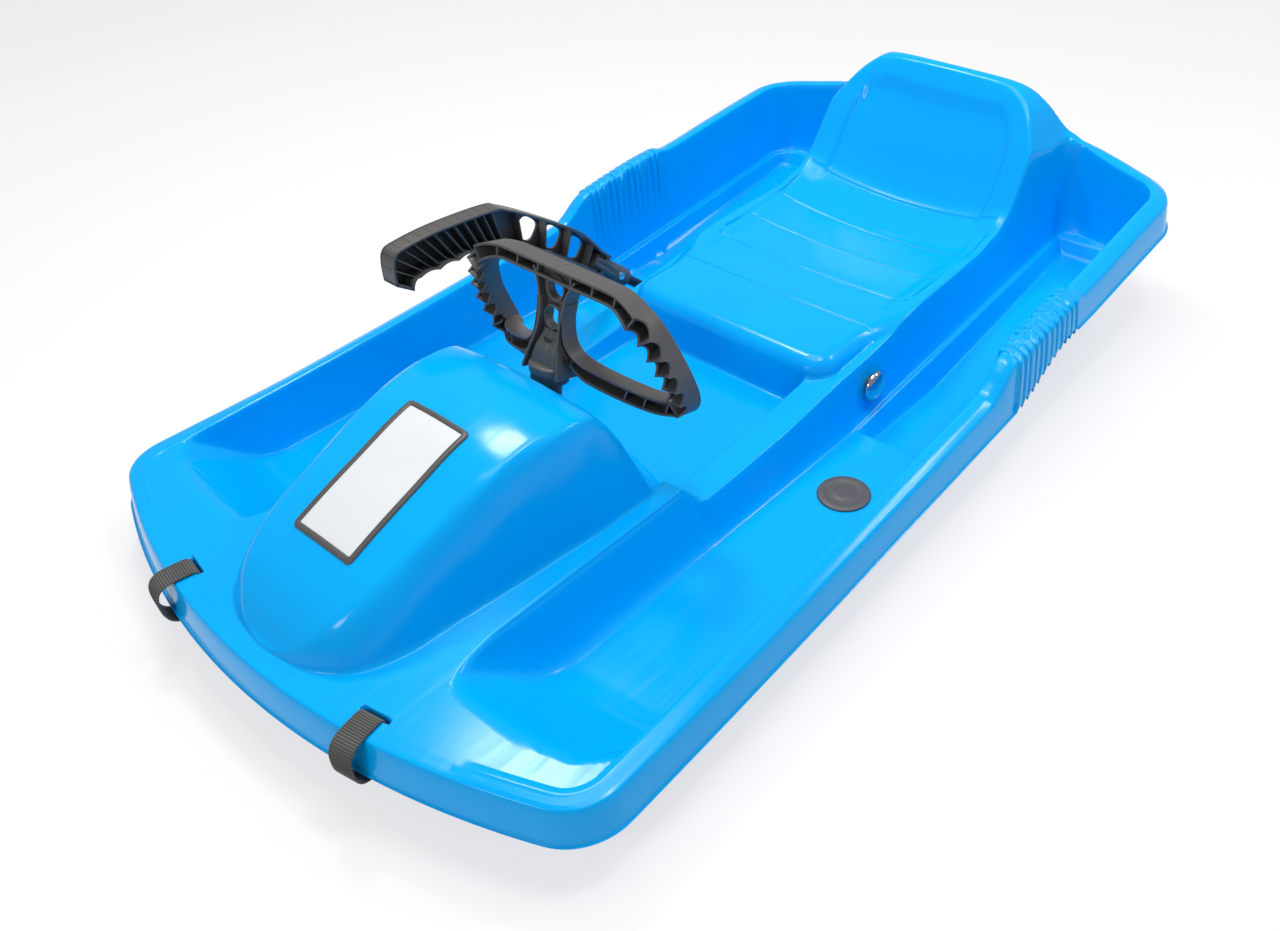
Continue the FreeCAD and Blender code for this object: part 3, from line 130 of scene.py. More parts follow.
def corner(a: Array, b: Array, radius: float, cosine: float) -> Array:
    """Inside distance of two edges that meet in a corner of a given radius.

    radius - |p - c| within the corner's sector, else min(a, b); c is where both distances equal the radius.

    Args:
        a: distance inside the first edge.
        b: distance inside the second edge.
        radius: corner radius.
        cosine: cosine of the angle between the edges' normals.

    Returns:
        The rounded distance.
    """
    p, q = radius - a, radius - b
    arc = radius - np.sqrt(np.maximum(p * p + q * q - 2 * cosine * p * q, 0.0) / (1 - cosine ** 2))
    return np.where((p > cosine * q) & (q > cosine * p), arc, np.minimum(a, b))


def unit(v: Array) -> Array:
    """Rows scaled to length one."""
    return v / np.maximum(np.linalg.norm(v, axis=-1, keepdims=True), 1e-12)


def angles(count: int = 64) -> Array:
    """Even angles once round."""
    return np.linspace(0, 2 * np.pi, count, endpoint=False)


def square_reach(a: Array) -> Array:
    """Reach of a square of half width 1 at angles a: 1 / max(|cos a|, |sin a|)."""
    return 1 / np.maximum(np.abs(np.cos(a)), np.abs(np.sin(a)))


def round_reach(a: Array, power: float) -> Array:
    """Reach of a round-cornered square of half width 1: (|cos a|^p + |sin a|^p)^(-1/p)."""
    return (np.abs(np.cos(a)) ** power + np.abs(np.sin(a)) ** power) ** (-1 / power)


def points3(x: Array, y: Array, z: Array) -> Array:
    """Points from three coordinates, each a number or an array."""
    return np.stack(np.broadcast_arrays(x, y, z), axis=-1).astype(float)


def run_along(line: Array) -> Array:
    """Distance run along a line at each of its points."""
    return np.concatenate([[0.0], np.cumsum(np.linalg.norm(np.diff(line, axis=0), axis=1))])


def resampled(line: Array, run: Array, want: Array) -> Array:
    """Points of a line at wanted values of its run."""
    return np.stack([np.interp(want, run, column) for column in line.T], axis=1)


def smooth_path(points: Table, count: int, closed: bool = False) -> Array:
    """Catmull-Rom curve through points, resampled to even steps.

    Each stretch from b to c is a cubic in t whose slopes at its ends are (c - a) / 2 and (d - b) / 2.

    Args:
        points: points that it passes through.
        count: number of stations.
        closed: whether the last point joins the first.

    Returns:
        Array of stations by coordinates.
    """
    p = np.asarray(points, float)
    if closed:
        p = np.vstack([p[-1:], p, p[:2]])
    else:
        p = np.vstack([2 * p[0] - p[1], p, 2 * p[-1] - p[-2]])
    t = np.linspace(0, 1, STRETCH_STEPS, endpoint=False)[:, None]
    a, b, c, d = p[:-3, None], p[1:-2, None], p[2:-1, None], p[3:, None]
    dense = 0.5 * (
        2 * b + (c - a) * t + (2 * a - 5 * b + 4 * c - d) * t ** 2 + (3 * b - a - 3 * c + d) * t ** 3
    )
    dense = np.vstack([dense.reshape(-1, p.shape[1]), p[-2:-1]])
    run = run_along(dense)
    return resampled(dense, run, np.linspace(0, run[-1], count, endpoint=not closed))


# Meshes


def grid_faces(rows: int, cols: int, wrap_rows: bool = False, wrap_cols: bool = False) -> Array:
    """Quads of a grid whose points are numbered row by row.

    Args:
        rows: number of rows.
        cols: number of columns.
        wrap_rows: whether the last row joins the first.
        wrap_cols: whether the last column joins the first.

    Returns:
        Array of quads.
    """
    r = np.arange(rows if wrap_rows else rows - 1)
    c = np.arange(cols if wrap_cols else cols - 1)
    r, c = np.meshgrid(r, c, indexing="ij")
    r2, c2 = (r + 1) % rows, (c + 1) % cols
    return np.stack([r * cols + c, r * cols + c2, r2 * cols + c2, r2 * cols + c], axis=-1).reshape(-1, 4)


@dataclass
class Shape:
    """Points in millimetres, faces and optional texture coordinates of one surface."""

    points: Array
    faces: list
    uv: Optional[Array] = None

    def outward(self) -> "Shape":
        """The same closed surface with its faces looking outward, told by the sign of its volume.

        Returns:
            The shape.
        """
        fans = np.array([(f[0], f[i], f[i + 1]) for f in self.faces for i in range(1, len(f) - 1)])
        a, b, c = (self.points[fans[:, k]] for k in range(3))
        if np.sum(a * np.cross(b, c)) < 0:
            self.faces = [f[::-1] for f in self.faces]
        return self

    def mirrored(self) -> "Shape":
        """The shape on the other side of the plane X = 0."""
        return Shape(self.points * np.array([-1.0, 1.0, 1.0]), [f[::-1] for f in self.faces], self.uv)


def gather(shapes: Sequence[Shape]) -> Shape:
    """Several shapes as one.

    Args:
        shapes: shapes to take together.

    Returns:
        One shape.
    """
    faces, start = [], 0
    for s in shapes:
        faces += [[i + start for i in f] for f in s.faces]
        start += len(s.points)
    return Shape(np.vstack([s.points for s in shapes]), faces)


def tube(rings: Array, wrap: bool = False) -> Shape:
    """Closed surface through closed rings, P(i, j) = rings[i, j], with flat ends unless it wraps.

    Args:
        rings: stations by points by 3.
        wrap: whether the last ring joins the first.

    Returns:
        The shape, looking outward.
    """
    rows, cols = rings.shape[:2]
    faces = grid_faces(rows, cols, wrap_rows=wrap, wrap_cols=True).tolist()
    if not wrap:
        faces.append(list(range(cols))[::-1])
        faces.append(list(range((rows - 1) * cols, rows * cols)))
    return Shape(rings.reshape(-1, 3), faces).outward()


def turned(profile: Table, count: int = 48) -> Shape:
    """Surface of revolution about Z: (r cos a, r sin a, z) for profile points (r, z), in count steps."""
    r, z = np.asarray(profile, float).T[..., None]
    return tube(points3(r * np.cos(angles(count)), r * np.sin(angles(count)), z))


def placed(shape: Shape, origin: Sequence[float], axes: Array) -> Shape:
    """Shape carried from its own axes, the rows of axes, into the frame: p = origin + x A0 + y A1 + z A2."""
    return Shape(np.asarray(origin, float) + shape.points @ np.asarray(axes, float), shape.faces, shape.uv)


def add_object(
    name: str, shape: Shape, smooth_angle: Optional[float] = None, normals: Optional[Array] = None
) -> bpy.types.Object:
    """Mesh object from a shape, at the origin.

    Args:
        name: object name.
        shape: points, faces and texture coordinates.
        smooth_angle: edges sharper than this stay sharp, in degrees.
        normals: point normals worked out from the formula, if any.

    Returns:
        The object.
    """
    mesh = bpy.data.meshes.new(name)
    mesh.from_pydata((shape.points * MM).tolist(), [], shape.faces)
    mesh.update()
    mesh.shade_smooth()
    if shape.uv is not None:
        layer = mesh.uv_layers.new(name="UVMap")
        corners = np.zeros(len(mesh.loops), np.int32)
        mesh.loops.foreach_get("vertex_index", corners)
        layer.data.foreach_set("uv", shape.uv[corners].astype(np.float32).ravel())
    if smooth_angle is not None:
        mesh.set_sharp_from_angle(angle=math.radians(smooth_angle))
    if normals is not None:
        mesh.normals_split_custom_set_from_vertices(normals.tolist())
    obj = bpy.data.objects.new(name, mesh)
    bpy.context.scene.collection.objects.link(obj)
    log.info("piece %s: %d points, %d faces", name, len(shape.points), len(shape.faces))
    return obj


def rounded(obj: bpy.types.Object, width: float) -> bpy.types.Object:
    """Adds a bevel to the sharp edges of an object.

    Args:
        obj: object.
        width: bevel width in millimetres.

    Returns:
        The object.
    """
    bevel = obj.modifiers.new("edges", "BEVEL")
    bevel.width = width * MM
    bevel.segments = BEVEL_STEPS
    bevel.limit_method = "ANGLE"
    bevel.angle_limit = math.radians(BEVEL_ANGLE)
    return obj


# Finishes


@dataclass(frozen=True)
class Finish:
    """Looks of one material."""

    name: str
    color: tuple
    second: tuple
    roughness: float
    rough_spread: float
    pattern: Pattern
    metallic: float = 0.0
    scale: float = 300.0
    depth: float = 0.00005
    specular: float = 0.5


LINE_DISTORTION = {Pattern.BRUSHED: 6.0, Pattern.WOVEN: 0.6}
FINISHES = {
    "hull": Finish(
        "gloss_blue", (0.0, 0.385, 0.90), (0.0, 0.41, 0.93), 0.15, 0.10, Pattern.GRAINED,
        scale=420.0, depth=0.00002, specular=0.2,
    ),
    "dark": Finish(
        "dark_plastic", (0.075, 0.073, 0.072), (0.095, 0.092, 0.09), 0.40, 0.15, Pattern.GRAINED,
        scale=1500.0, depth=0.00006,
    ),
    "steel": Finish(
        "zinc_steel", (0.52, 0.53, 0.55), (0.66, 0.66, 0.67), 0.28, 0.15, Pattern.BRUSHED,
        metallic=1.0, scale=260.0, depth=0.00001,
    ),
    "dark_steel": Finish(
        "black_steel", (0.035, 0.035, 0.037), (0.07, 0.07, 0.07), 0.38, 0.2, Pattern.GRAINED,
        metallic=0.6, scale=900.0, depth=0.00003,
    ),
    "chrome": Finish(
        "bright_chrome", (0.50, 0.51, 0.53), (0.58, 0.59, 0.61), 0.06, 0.08, Pattern.GRAINED,
        metallic=1.0, scale=500.0, depth=0.000004,
    ),
    "webbing": Finish(
        "grey_webbing", (0.055, 0.054, 0.053), (0.13, 0.128, 0.125), 0.75, 0.15, Pattern.WOVEN,
        scale=150.0, depth=0.0002, specular=0.3,
    ),
    "plate": Finish(
        "pale_plate", (0.70, 0.73, 0.77), (0.76, 0.78, 0.80), 0.22, 0.10, Pattern.GRAINED,
        scale=600.0, depth=0.00001,
    ),
    "nylon": Finish(
        "dark_nylon", (0.045, 0.044, 0.044), (0.06, 0.058, 0.057), 0.45, 0.1, Pattern.GRAINED,
        scale=900.0, depth=0.00003,
    ),
}


def add_node(tree: bpy.types.NodeTree, kind: str, values: Optional[dict] = None) -> bpy.types.Node:
    """New shader node with some of its inputs set.

    Args:
        tree: node tree that takes it.
        kind: node type, without the prefix that all shader nodes share.
        values: input values by name.

    Returns:
        The node.
    """
    node = tree.nodes.new("ShaderNode" + kind)
    for name, value in (values or {}).items():
        node.inputs[name].default_value = value
    return node


def add_mix(tree: bpy.types.NodeTree, first: Sequence[float], second: Sequence[float]) -> bpy.types.Node:
    """New node that mixes two opaque colours.

    Args:
        tree: node tree that takes it.
        first: colour at factor 0.
        second: colour at factor 1.

    Returns:
        The node.
    """
    node = add_node(tree, "Mix")
    node.data_type = "RGBA"
    node.inputs["A"].default_value = (*first, 1.0)
    node.inputs["B"].default_value = (*second, 1.0)
    return node


def wire(tree: bpy.types.NodeTree, *pairs: tuple) -> None:
    """Links each output of the pairs to its input."""
    for output, socket in pairs:
        tree.links.new(output, socket)


def detail_group() -> bpy.types.NodeTree:
    """Node group that gives a tone mask, a wear mask and a height from a coordinate.

    Returns:
        The group, which is made once.
    """
    name = "surface_detail"
    if name in bpy.data.node_groups:
        return bpy.data.node_groups[name]
    tree = bpy.data.node_groups.new(name, "ShaderNodeTree")
    tree.interface.new_socket("Place", in_out="INPUT", socket_type="NodeSocketVector")
    tree.interface.new_socket("Scale", in_out="INPUT", socket_type="NodeSocketFloat")
    for label in ("Tone", "Wear", "Height"):
        tree.interface.new_socket(label, in_out="OUTPUT", socket_type="NodeSocketFloat")
    start, end = tree.nodes.new("NodeGroupInput"), tree.nodes.new("NodeGroupOutput")
    broad = add_node(tree, "TexNoise", {"Scale": 7.0, "Detail": 3.0})
    fine = add_node(tree, "TexNoise", {"Detail": 4.0, "Roughness": 0.55})
    stretch = add_node(tree, "Mapping", {"Scale": (140.0, 9.0, 60.0), "Rotation": (0.2, 0.1, 0.35)})
    scuff = add_node(tree, "TexNoise", {"Scale": 1.0, "Detail": 2.0})
    pick = add_node(tree, "MapRange", {"From Min": 0.52, "From Max": 0.78})
    wire(
        tree,
        *((start.outputs["Place"], node.inputs["Vector"]) for node in (broad, fine, stretch)),
        (start.outputs["Scale"], fine.inputs["Scale"]),
        (stretch.outputs["Vector"], scuff.inputs["Vector"]),
        (scuff.outputs["Fac"], pick.inputs["Value"]),
        (broad.outputs["Fac"], end.inputs["Tone"]),
        (pick.outputs["Result"], end.inputs["Wear"]),
        (fine.outputs["Fac"], end.inputs["Height"]),
    )
    return tree


def make_material(finish: Finish) -> bpy.types.Material:
    """Procedural material of a finish.

    Args:
        finish: colours, roughness and pattern.

    Returns:
        The material.
    """
    material = bpy.data.materials.new(finish.name)
    material.use_nodes = True
    tree = material.node_tree
    shader = tree.nodes["Principled BSDF"]
    shader.inputs["Metallic"].default_value = finish.metallic
    shader.inputs["Specular IOR Level"].default_value = finish.specular
    place = add_node(tree, "TexCoord")
    detail = add_node(tree, "Group")
    detail.node_tree = detail_group()
    detail.inputs["Scale"].default_value = finish.scale
    tone = add_mix(tree, finish.color, finish.second)
    most = finish.roughness + finish.rough_spread
    rough = add_node(tree, "MapRange", {"To Min": finish.roughness, "To Max": most})
    bump = add_node(tree, "Bump", {"Strength": 1.0, "Distance": finish.depth})
    factor, height = detail.outputs["Tone"], detail.outputs["Height"]
    if finish.pattern in LINE_DISTORTION:
        woven = finish.pattern is Pattern.WOVEN
        distortion = LINE_DISTORTION[finish.pattern]
        lines = add_node(tree, "TexWave", {"Scale": finish.scale, "Distortion": distortion, "Detail": 3.0})
        lines.bands_direction = "X"
        wire(tree, (place.outputs["UV" if woven else "Object"], lines.inputs["Vector"]))
        factor = lines.outputs["Fac"]
        height = factor if woven else height
    wire(
        tree,
        (place.outputs["Object"], detail.inputs["Place"]),
        (factor, tone.inputs["Factor"]),
        (tone.outputs["Result"], shader.inputs["Base Color"]),
        (detail.outputs["Wear"], rough.inputs["Value"]),
        (rough.outputs["Result"], shader.inputs["Roughness"]),
        (height, bump.inputs["Height"]),
        (bump.outputs["Normal"], shader.inputs["Normal"]),
    )
    return material


@dataclass
class Workshop:
    """Holds the materials and dresses pieces with them."""

    materials: dict

    def dress(self, obj: bpy.types.Object, slot: str, body: Body, *nodes: str) -> bpy.types.Object:
        """Gives a piece its material, its body and the nodes it stands for.

        Args:
            obj: piece.
            slot: material slot of the record.
            body: body it rides on.
            nodes: frame nodes that it stands for.

        Returns:
            The piece.
        """
        obj.data.materials.clear()
        obj.data.materials.append(self.materials[slot])
        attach(obj, body.value)
        if nodes:
            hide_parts(*nodes)
        stands_for = ", ".join(nodes) or "nothing"
        log.info("dressed %s: slot %s, rides on %s, stands for %s", obj.name, slot, body.value, stands_for)
        return obj


# Hull


@dataclass
class Hull:
    """The moulded hull as a height field z = h(|x|, y), in millimetres.

    Names that end in across or along are spans, one or two, over which something eases in or out.
    Tables hold (place, value) points.
    """

    # Plan outline
    half_length: float = 494.6
    front_half: float = 287.6
    rear_half: float = 259.6
    front_station: float = -400.0
    rear_station: float = 430.0
    front_bow: float = 650.0
    rear_bow: float = 900.0
    front_corner: float = 50.0
    rear_corner: float = 60.0
    front_cosine: float = 0.354
    rear_cosine: float = 0.277

    # Rim and skirt
    wall: float = 2.9
    least_height: float = 0.1
    deck: float = 70.0
    rim_width: float = 24.5
    rim_line: tuple = (
        (-500, 70), (-400, 70), (60, 87), (82, 89), (96, 96), (106, 103.5), (116, 109.4), (124, 111.4),
        (230, 121), (236, 119.5), (244, 118), (260, 118.5), (320, 124), (400, 131), (440, 133.5),
        (500, 134.5),
    )
    tail_rise: float = 13.0
    tail_across: tuple = (125, 245)
    tail_along: tuple = (425, 465)
    crown_height: float = 1.6
    crown_middle: float = 16.0
    crown_half: float = 9.0
    crown_across: tuple = (185, 215)
    lip_line: tuple = (
        (-500, 40), (-400, 40), (100, 57), (125, 58.5), (205, 86), (230, 87), (260, 88), (330, 93),
        (433, 99.5), (500, 101),
    )
    skirt_foot: tuple = ((0, 0.2), (2.3, 1.4), (3.0, 5.0))
    skirt_run: float = 7.0
    skirt_power: float = 2.1
    skirt_end: tuple = (10.0, 37)
    skirt_blend: float = 3.0
    rim_over: float = 2.2
    bevel: float = 17.0
    bevel_run: float = 27.0
    bevel_slope: float = 0.08
    bevel_gain: float = 0.47
    bevel_along: tuple = (-430, -250)
    release: float = 220.0

    # Hand grips and strap slots
    ribs: int = 12
    rib_front: float = 121.0
    rib_rear: float = 231.0
    rib_height: float = 2.8
    rib_rise: float = 2.0
    rib_edge: tuple = (0.58, 0.86)
    rib_fade: tuple = (28, 31.5)
    slot_setback: float = 28.0
    slot_offset: float = 112.75
    slot_half: tuple = (11.6, 2.6)
    slot_depth: float = 10.0

    # Footwells
    foot_half: float = 142.0
    wall_lean: float = 8.0
    hidden_slope: float = 8.0
    floor_low: float = 16.0
    floor_climb: float = 41.0
    floor_start: float = 55.0
    floor_run: float = 385.0
    trough_low: float = 3.0
    trough_start: float = 180.0
    trough_run: float = 248.0
    trough_edges: tuple = (157, 47, 70, 421)
    trough_leans: tuple = (9, 7.5, 9, 10)
    trough_blend: float = 4.0
    trough_lip: float = 2.0
    ramp_front: float = -404.0
    ramp_run: float = 75.0
    ramp_bow: float = 0.0018
    ramp_middle: float = 165.0
    ramp_inner: float = 40.0
    ramp_turn: float = 150.0
    ramp_turn_run: float = 30.0
    ramp_turn_most: float = 1.1
    ramp_turn_power: int = 4
    ramp_outer: float = 16.0
    ramp_across: tuple = (240, 268)
    ramp_blend: float = 16.0
    ridge_height: float = 0.22
    ridge_pitch: float = 7.0
    ridge_first: float = -392.0
    ridge_across: tuple = ((162, 168), (232, 238))
    ridge_along: tuple = ((-396, -394), (-341, -339))
    foot_blend: float = 20.0
    seat_sharper: float = 9.0
    sharper_along: tuple = (60, 110)
    rear_softer: float = 18.0
    softer_along: tuple = (380, 440)
    rear_corner_blend: float = 200.0
    rear_corner_along: tuple = (385, 430)

    # Console
    middle_half: float = 190.0
    edge_half: tuple = (
        (-500, 120), (-152, 120), (-142, 123), (-131, 130), (103, 130), (190, 129), (250, 127.5),
        (290, 126), (320, 125.5), (352, 124.5), (380, 122), (405, 119), (420, 117), (500, 117),
    )
    edge_height: tuple = (
        (-500, 70), (-153, 70), (-143, 62), (-132, 52.5), (-33, 56.5), (48, 66), (103, 71), (150, 78),
        (190, 85), (250, 86.5), (290, 87.5), (320, 94), (344, 106), (352, 113), (365, 131), (380, 154),
        (395, 177), (412, 203), (420, 213), (427, 217), (500, 217),
    )
    ledge_top: float = 92.0
    ledge_end: float = 300.0
    ledge_along: tuple = (430, 446)
    console_deck: float = 39.0
    console_half: tuple = ((-200, 95.5), (60, 95.5), (150, 100), (200, 112), (400, 112))
    console_lean: float = 5.5
    console_blend: float = 4.0
    console_front: float = -165.0
    console_rear: float = 440.0

    # Bonnet and dashboard
    bonnet_half: tuple = (
        (-472, 0), (-471, 12), (-469.5, 22), (-466, 38), (-462, 48), (-455, 59.5), (-445, 71),
        (-432, 79), (-418, 84.5), (-399, 89), (-370, 91), (-344, 93.6), (-308, 97.3), (-268, 100.5),
        (-230, 104.5), (-185, 106.5), (-159, 108), (-100, 108),
    )
    bonnet_rise: tuple = (
        (-472, 0), (-466, 6), (-455, 19), (-435, 36), (-405, 52), (-345, 76), (-284, 96), (-250, 99.5),
        (-228, 98.5), (-213, 96), (-204, 92), (-198, 86.5), (-193, 79), (-189, 72.5), (-173, 54),
        (-140, 30), (-90, 8),
    )
    bonnet_fall_share: float = 0.07
    bonnet_reach: float = 80.0
    flank_slope: tuple = (
        (-472, 1.4), (-440, 2.3), (-400, 3.1), (-345, 3.9), (-268, 4.5), (-230, 4.1), (-200, 3.45),
        (-100, 3.2),
    )
    shoulder_round: tuple = (
        (-472, 16), (-440, 28), (-345, 35), (-268, 32), (-230, 25), (-205, 16), (-100, 12),
    )
    dash_top: float = 143.5
    dash_slope: float = 2.05
    dash_place: float = -173.0
    dash_bow: float = 20.0
    dash_half: float = 86.0
    dash_blend: float = 7.0
    bonnet_blend: float = 6.0
    dash_softer: float = 22.0
    dash_across: tuple = (82, 102)
    dash_along: tuple = (-160, -130)

    # Seat and backrest
    seat_start: float = 30.0
    seat_front: float = 40.0
    seat_half: float = 121.0
    seat_flare: float = 40.0
    flare_along: tuple = (100, 240)
    seat_round: float = 19.0
    seat_corner: float = 28.0
    seat_drop: float = 4.5
    seat_line: tuple = (
        (38, 84), (290, 84.5), (320, 92), (344, 104), (352, 111), (365, 129), (380, 152), (395, 175),
        (405, 190), (412, 200), (417, 206), (421, 209.8), (425, 211.7), (429, 211.7), (433, 209.5),
        (439, 203), (446, 191), (474, 134), (500, 90),
    )
    seat_dish: tuple = (
        (45, 0), (120, 0.5), (180, 3), (234, 7), (290, 10), (344, 13), (395, 10), (412, 5), (423, 1),
        (500, 0),
    )
    dish_half: float = 118.0
    panel_depth: float = 1.2
    panel_across: tuple = (100, 110)
    panel_along: tuple = ((100, 160), (330, 360))
    recess_depth: float = 6.5
    recess_half: float = 98.0
    recess_top: float = 409.0
    recess_corner: float = 34.0
    recess_lean: tuple = (-1.0, 4.5)
    recess_along: tuple = (322, 372)
    grooves: tuple = (122.5, 179.5, 234.3, 290.2, 343.8)
    groove_depth: float = 1.3
    groove_width: float = 1.1
    groove_across: tuple = (112, 117)
    shoulder: tuple = (
        (0, 214), (40, 213), (60, 211.5), (75, 208.5), (86, 203.5), (95, 196.5), (103, 188),
        (110, 178.5), (117, 167.5), (124, 157), (132, 149), (142, 142.5), (156, 137.5), (176, 134.5),
        (300, 134),
    )
    shoulder_blend: float = 7.0
    seat_blend: float = 8.0
    tail_softer: float = 15.0
    tail_softer_along: tuple = (425, 450)
    top_blend: float = 9.5
    nose_sharper: float = 3.5
    nose_ahead: tuple = (330, 370)

    # Places of the mesh points
    insets: tuple = (
        0.3, 1.2, 2.2, 2.6, 3.1, 3.8, 4.8, 6, 7.4, 9, 10.8, 12.6, 15, 18, 20.5, 22, 23, 23.8, 24.4,
        25.1, 25.7, 26.3, 27, 27.8, 28.6, 29.4, 30, 30.6, 31.3, 32, 33, 34.5, 36.5, 38.5, 40, 41.5, 43,
        44.6,
    )
    coarse_insets: tuple = (0, 2, 4, 7, 10, 13, 16, 19, 23, 27, 30, 33, 36)
    ledge_lines: tuple = (95, 96.5, 98, 99.5, 101, 102.5, 104, 106, 108, 110, 111.5, 113, 114.5, 116)
    wall_shares: tuple = (0, 0.04, 0.09, 0.15, 0.22, 0.3, 0.4, 0.5, 0.6, 0.7, 0.78, 0.85, 0.91, 0.96, 1.0)
    trough_lines: tuple = (143, 144.5, 146, 147.5, 149, 151, 153, 155, 157, 158.5, 160)
    cross_lines: tuple = (
        (-470, 471, 7.0), (-466, -434, 3.0), (-398, -336, 1.6), (-182, -104, 2.5), (32, 62, 1.1),
        (58, 76, 1.6), (345, 484, 3.0),
    )
    groove_lines: tuple = (-2.6, -1.5, -0.7, 0, 0.7, 1.5, 2.6)
    foot_lines: tuple = (-8, -5.5, -3.5, -2, -0.7, 0.6, 1.8, 3.2, 5.2)
    corner_lines: tuple = (-12, -9.5, -7.5, -6, -4.5, -3, -1.8, -0.7, 0.5, 2, 4, 7, 11)
    free_half: float = 100.0
    wall_start: float = 117.0
    slope_step: float = 0.3
    outline_step: float = 0.05
    outline_spacing: float = 4.2
    outline_rays: int = 6001
    outline_reach: float = 700.0
    halvings: int = 46
    grip_zone: tuple = (112, 242, 200)
    grip_gain: float = 0.45
    slot_zone: tuple = (-440, 98, 128)
    slot_gain: float = 0.6
    middle_lines: tuple = (0, 94, 5.4)
    floor_lines: tuple = (165, 246, 5.5)
    line_gap: float = 0.45
    coarse_skips: tuple = (2, 3)
    grid_gaps: tuple = (1.6, 4.0)
    on_axis: float = 1e-3
    foot_step: float = 2.4
    foot_range: tuple = (-471.8, -128, 3000)
    foot_clear: float = 0.4
    corner_start: float = -88.0
    corner_step: float = 3.0
    merge_gap: float = 1e-5
    least_area: float = 1e-3
    edge_clear: float = 0.2
    thin_edge: tuple = (0.4, 2.0)

    def inside(self, x: Array, y: Array) -> Array:
        """Distance inside the lip's plan outline: straight sides, bowed ends and round corners.

        Args:
            x: across, 0 or more.
            y: along.

        Returns:
            Distances, positive inside.
        """
        taper = (self.rear_half - self.front_half) / (self.rear_station - self.front_station)
        side = (self.front_half + taper * (y - self.front_station) - x) / math.hypot(1, taper)
        front = self.front_bow - np.hypot(x, y - (self.front_bow - self.half_length))
        rear = self.rear_bow - np.hypot(x, y - (self.half_length - self.rear_bow))
        ahead = corner(side, front, self.front_corner, self.front_cosine)
        return corner(ahead, rear, self.rear_corner, self.rear_cosine)

    def rim(self, x: Array, y: Array) -> Array:
        """Height of the rim, which rises toward the backrest at the tail."""
        rise = self.tail_rise * (1 - ease(x, *self.tail_across)) * ease(y, *self.tail_along)
        return curve(self.rim_line, y) + rise

    def rib(self, y: Array) -> Array:
        """Rib wave of the hand grips, 1 on a bar and 0 in a groove.

        Args:
            y: along.

        Returns:
            Values from 0 to 1.
        """
        t = (y - self.rib_front) / (self.rib_rear - self.rib_front) * self.ribs
        wave = np.abs((t % 1.0) - 0.5) * 2
        return np.where((t > 0) & (t < self.ribs), 1 - ease(wave, *self.rib_edge), 0.0)

    def ground(self, y: Array) -> Array:
        """Height of the footwell floor, level in front and climbing toward the tail."""
        return self.floor_low + self.floor_climb * np.clip((y - self.floor_start) / self.floor_run, 0, 1)

    def floor(self, x: Array, y: Array, d: Array) -> Array:
        """Footwell floor with the runner's trough: the lower of the ground and the trough.

        The trough is the highest of its four leaning sides and its bottom, run into each other.

        Args:
            x: across.
            y: along.
            d: distance inside the outline.

        Returns:
            Heights.
        """
        ground = self.ground(y)
        climb = np.clip((y - self.trough_start) / self.trough_run, 0, 1)
        bottom = self.trough_low + self.floor_climb * climb
        depth = np.maximum(ground - bottom, 1.0)
        inner, outer, front, rear = self.trough_edges
        gaps = (inner - x, outer - d, front - y, y - rear)
        trough, *others = [bottom + depth * gap / lean for gap, lean in zip(gaps, self.trough_leans)]
        for side in (*others, bottom):
            trough = soft_max(trough, side, self.trough_blend)
        return soft_min(ground, trough, self.trough_lip)

    def ramp(self, x: Array, y: Array) -> Array:
        """Slope from the deck down to the footwell, under a top line that swings back at both ends.

        Args:
            x: across.
            y: along.

        Returns:
            Heights, without the fine ridges, which basin adds.
        """
        bow = self.ramp_bow * (x - self.ramp_middle) ** 2
        swing = np.clip((self.ramp_turn - x) / self.ramp_turn_run, 0, self.ramp_turn_most)
        inner = self.ramp_inner * swing ** self.ramp_turn_power
        top = self.ramp_front + bow + inner + self.ramp_outer * ease(x, *self.ramp_across)
        return self.deck - (y - top) * (self.deck - self.floor_low) / self.ramp_run

    def basin(self, x: Array, y: Array, d: Array) -> Array:
        """Footwell: the highest of floor, ramp, inner wall and outer wall, run into each other.

        Args:
            x: across.
            y: along.
            d: distance inside the outline.

        Returns:
            Heights.
        """
        ground, rim = self.ground(y), self.rim(x, y)
        half, high = curve(self.edge_half, y), curve(self.edge_height, y)
        inner = high - (x - half) * (high - ground) / (self.foot_half - half)
        inner = np.where(x < half, high + (half - x) * self.hidden_slope, inner)
        push = self.rib_height * self.rib(y) * (1 - ease(d, *self.rib_fade))
        outer = rim - (d - self.rim_width - push) * (rim - ground) / self.wall_lean
        wave = 0.5 + 0.5 * np.cos((y - self.ridge_first) * 2 * np.pi / self.ridge_pitch)
        ridges = self.ridge_height * wave * band(x, *self.ridge_across) * band(y, *self.ridge_along)
        surface = soft_max(self.floor(x, y, d), self.ramp(x, y), self.ramp_blend) + ridges
        rear = self.rear_corner_blend * ease(y, *self.rear_corner_along)
        walls = soft_max(inner, outer, self.foot_blend + rear)
        sharper = self.seat_sharper * ease(y, *self.sharper_along)
        softer = self.rear_softer * ease(y, *self.softer_along)
        return soft_max(surface, walls, self.foot_blend - sharper + softer)

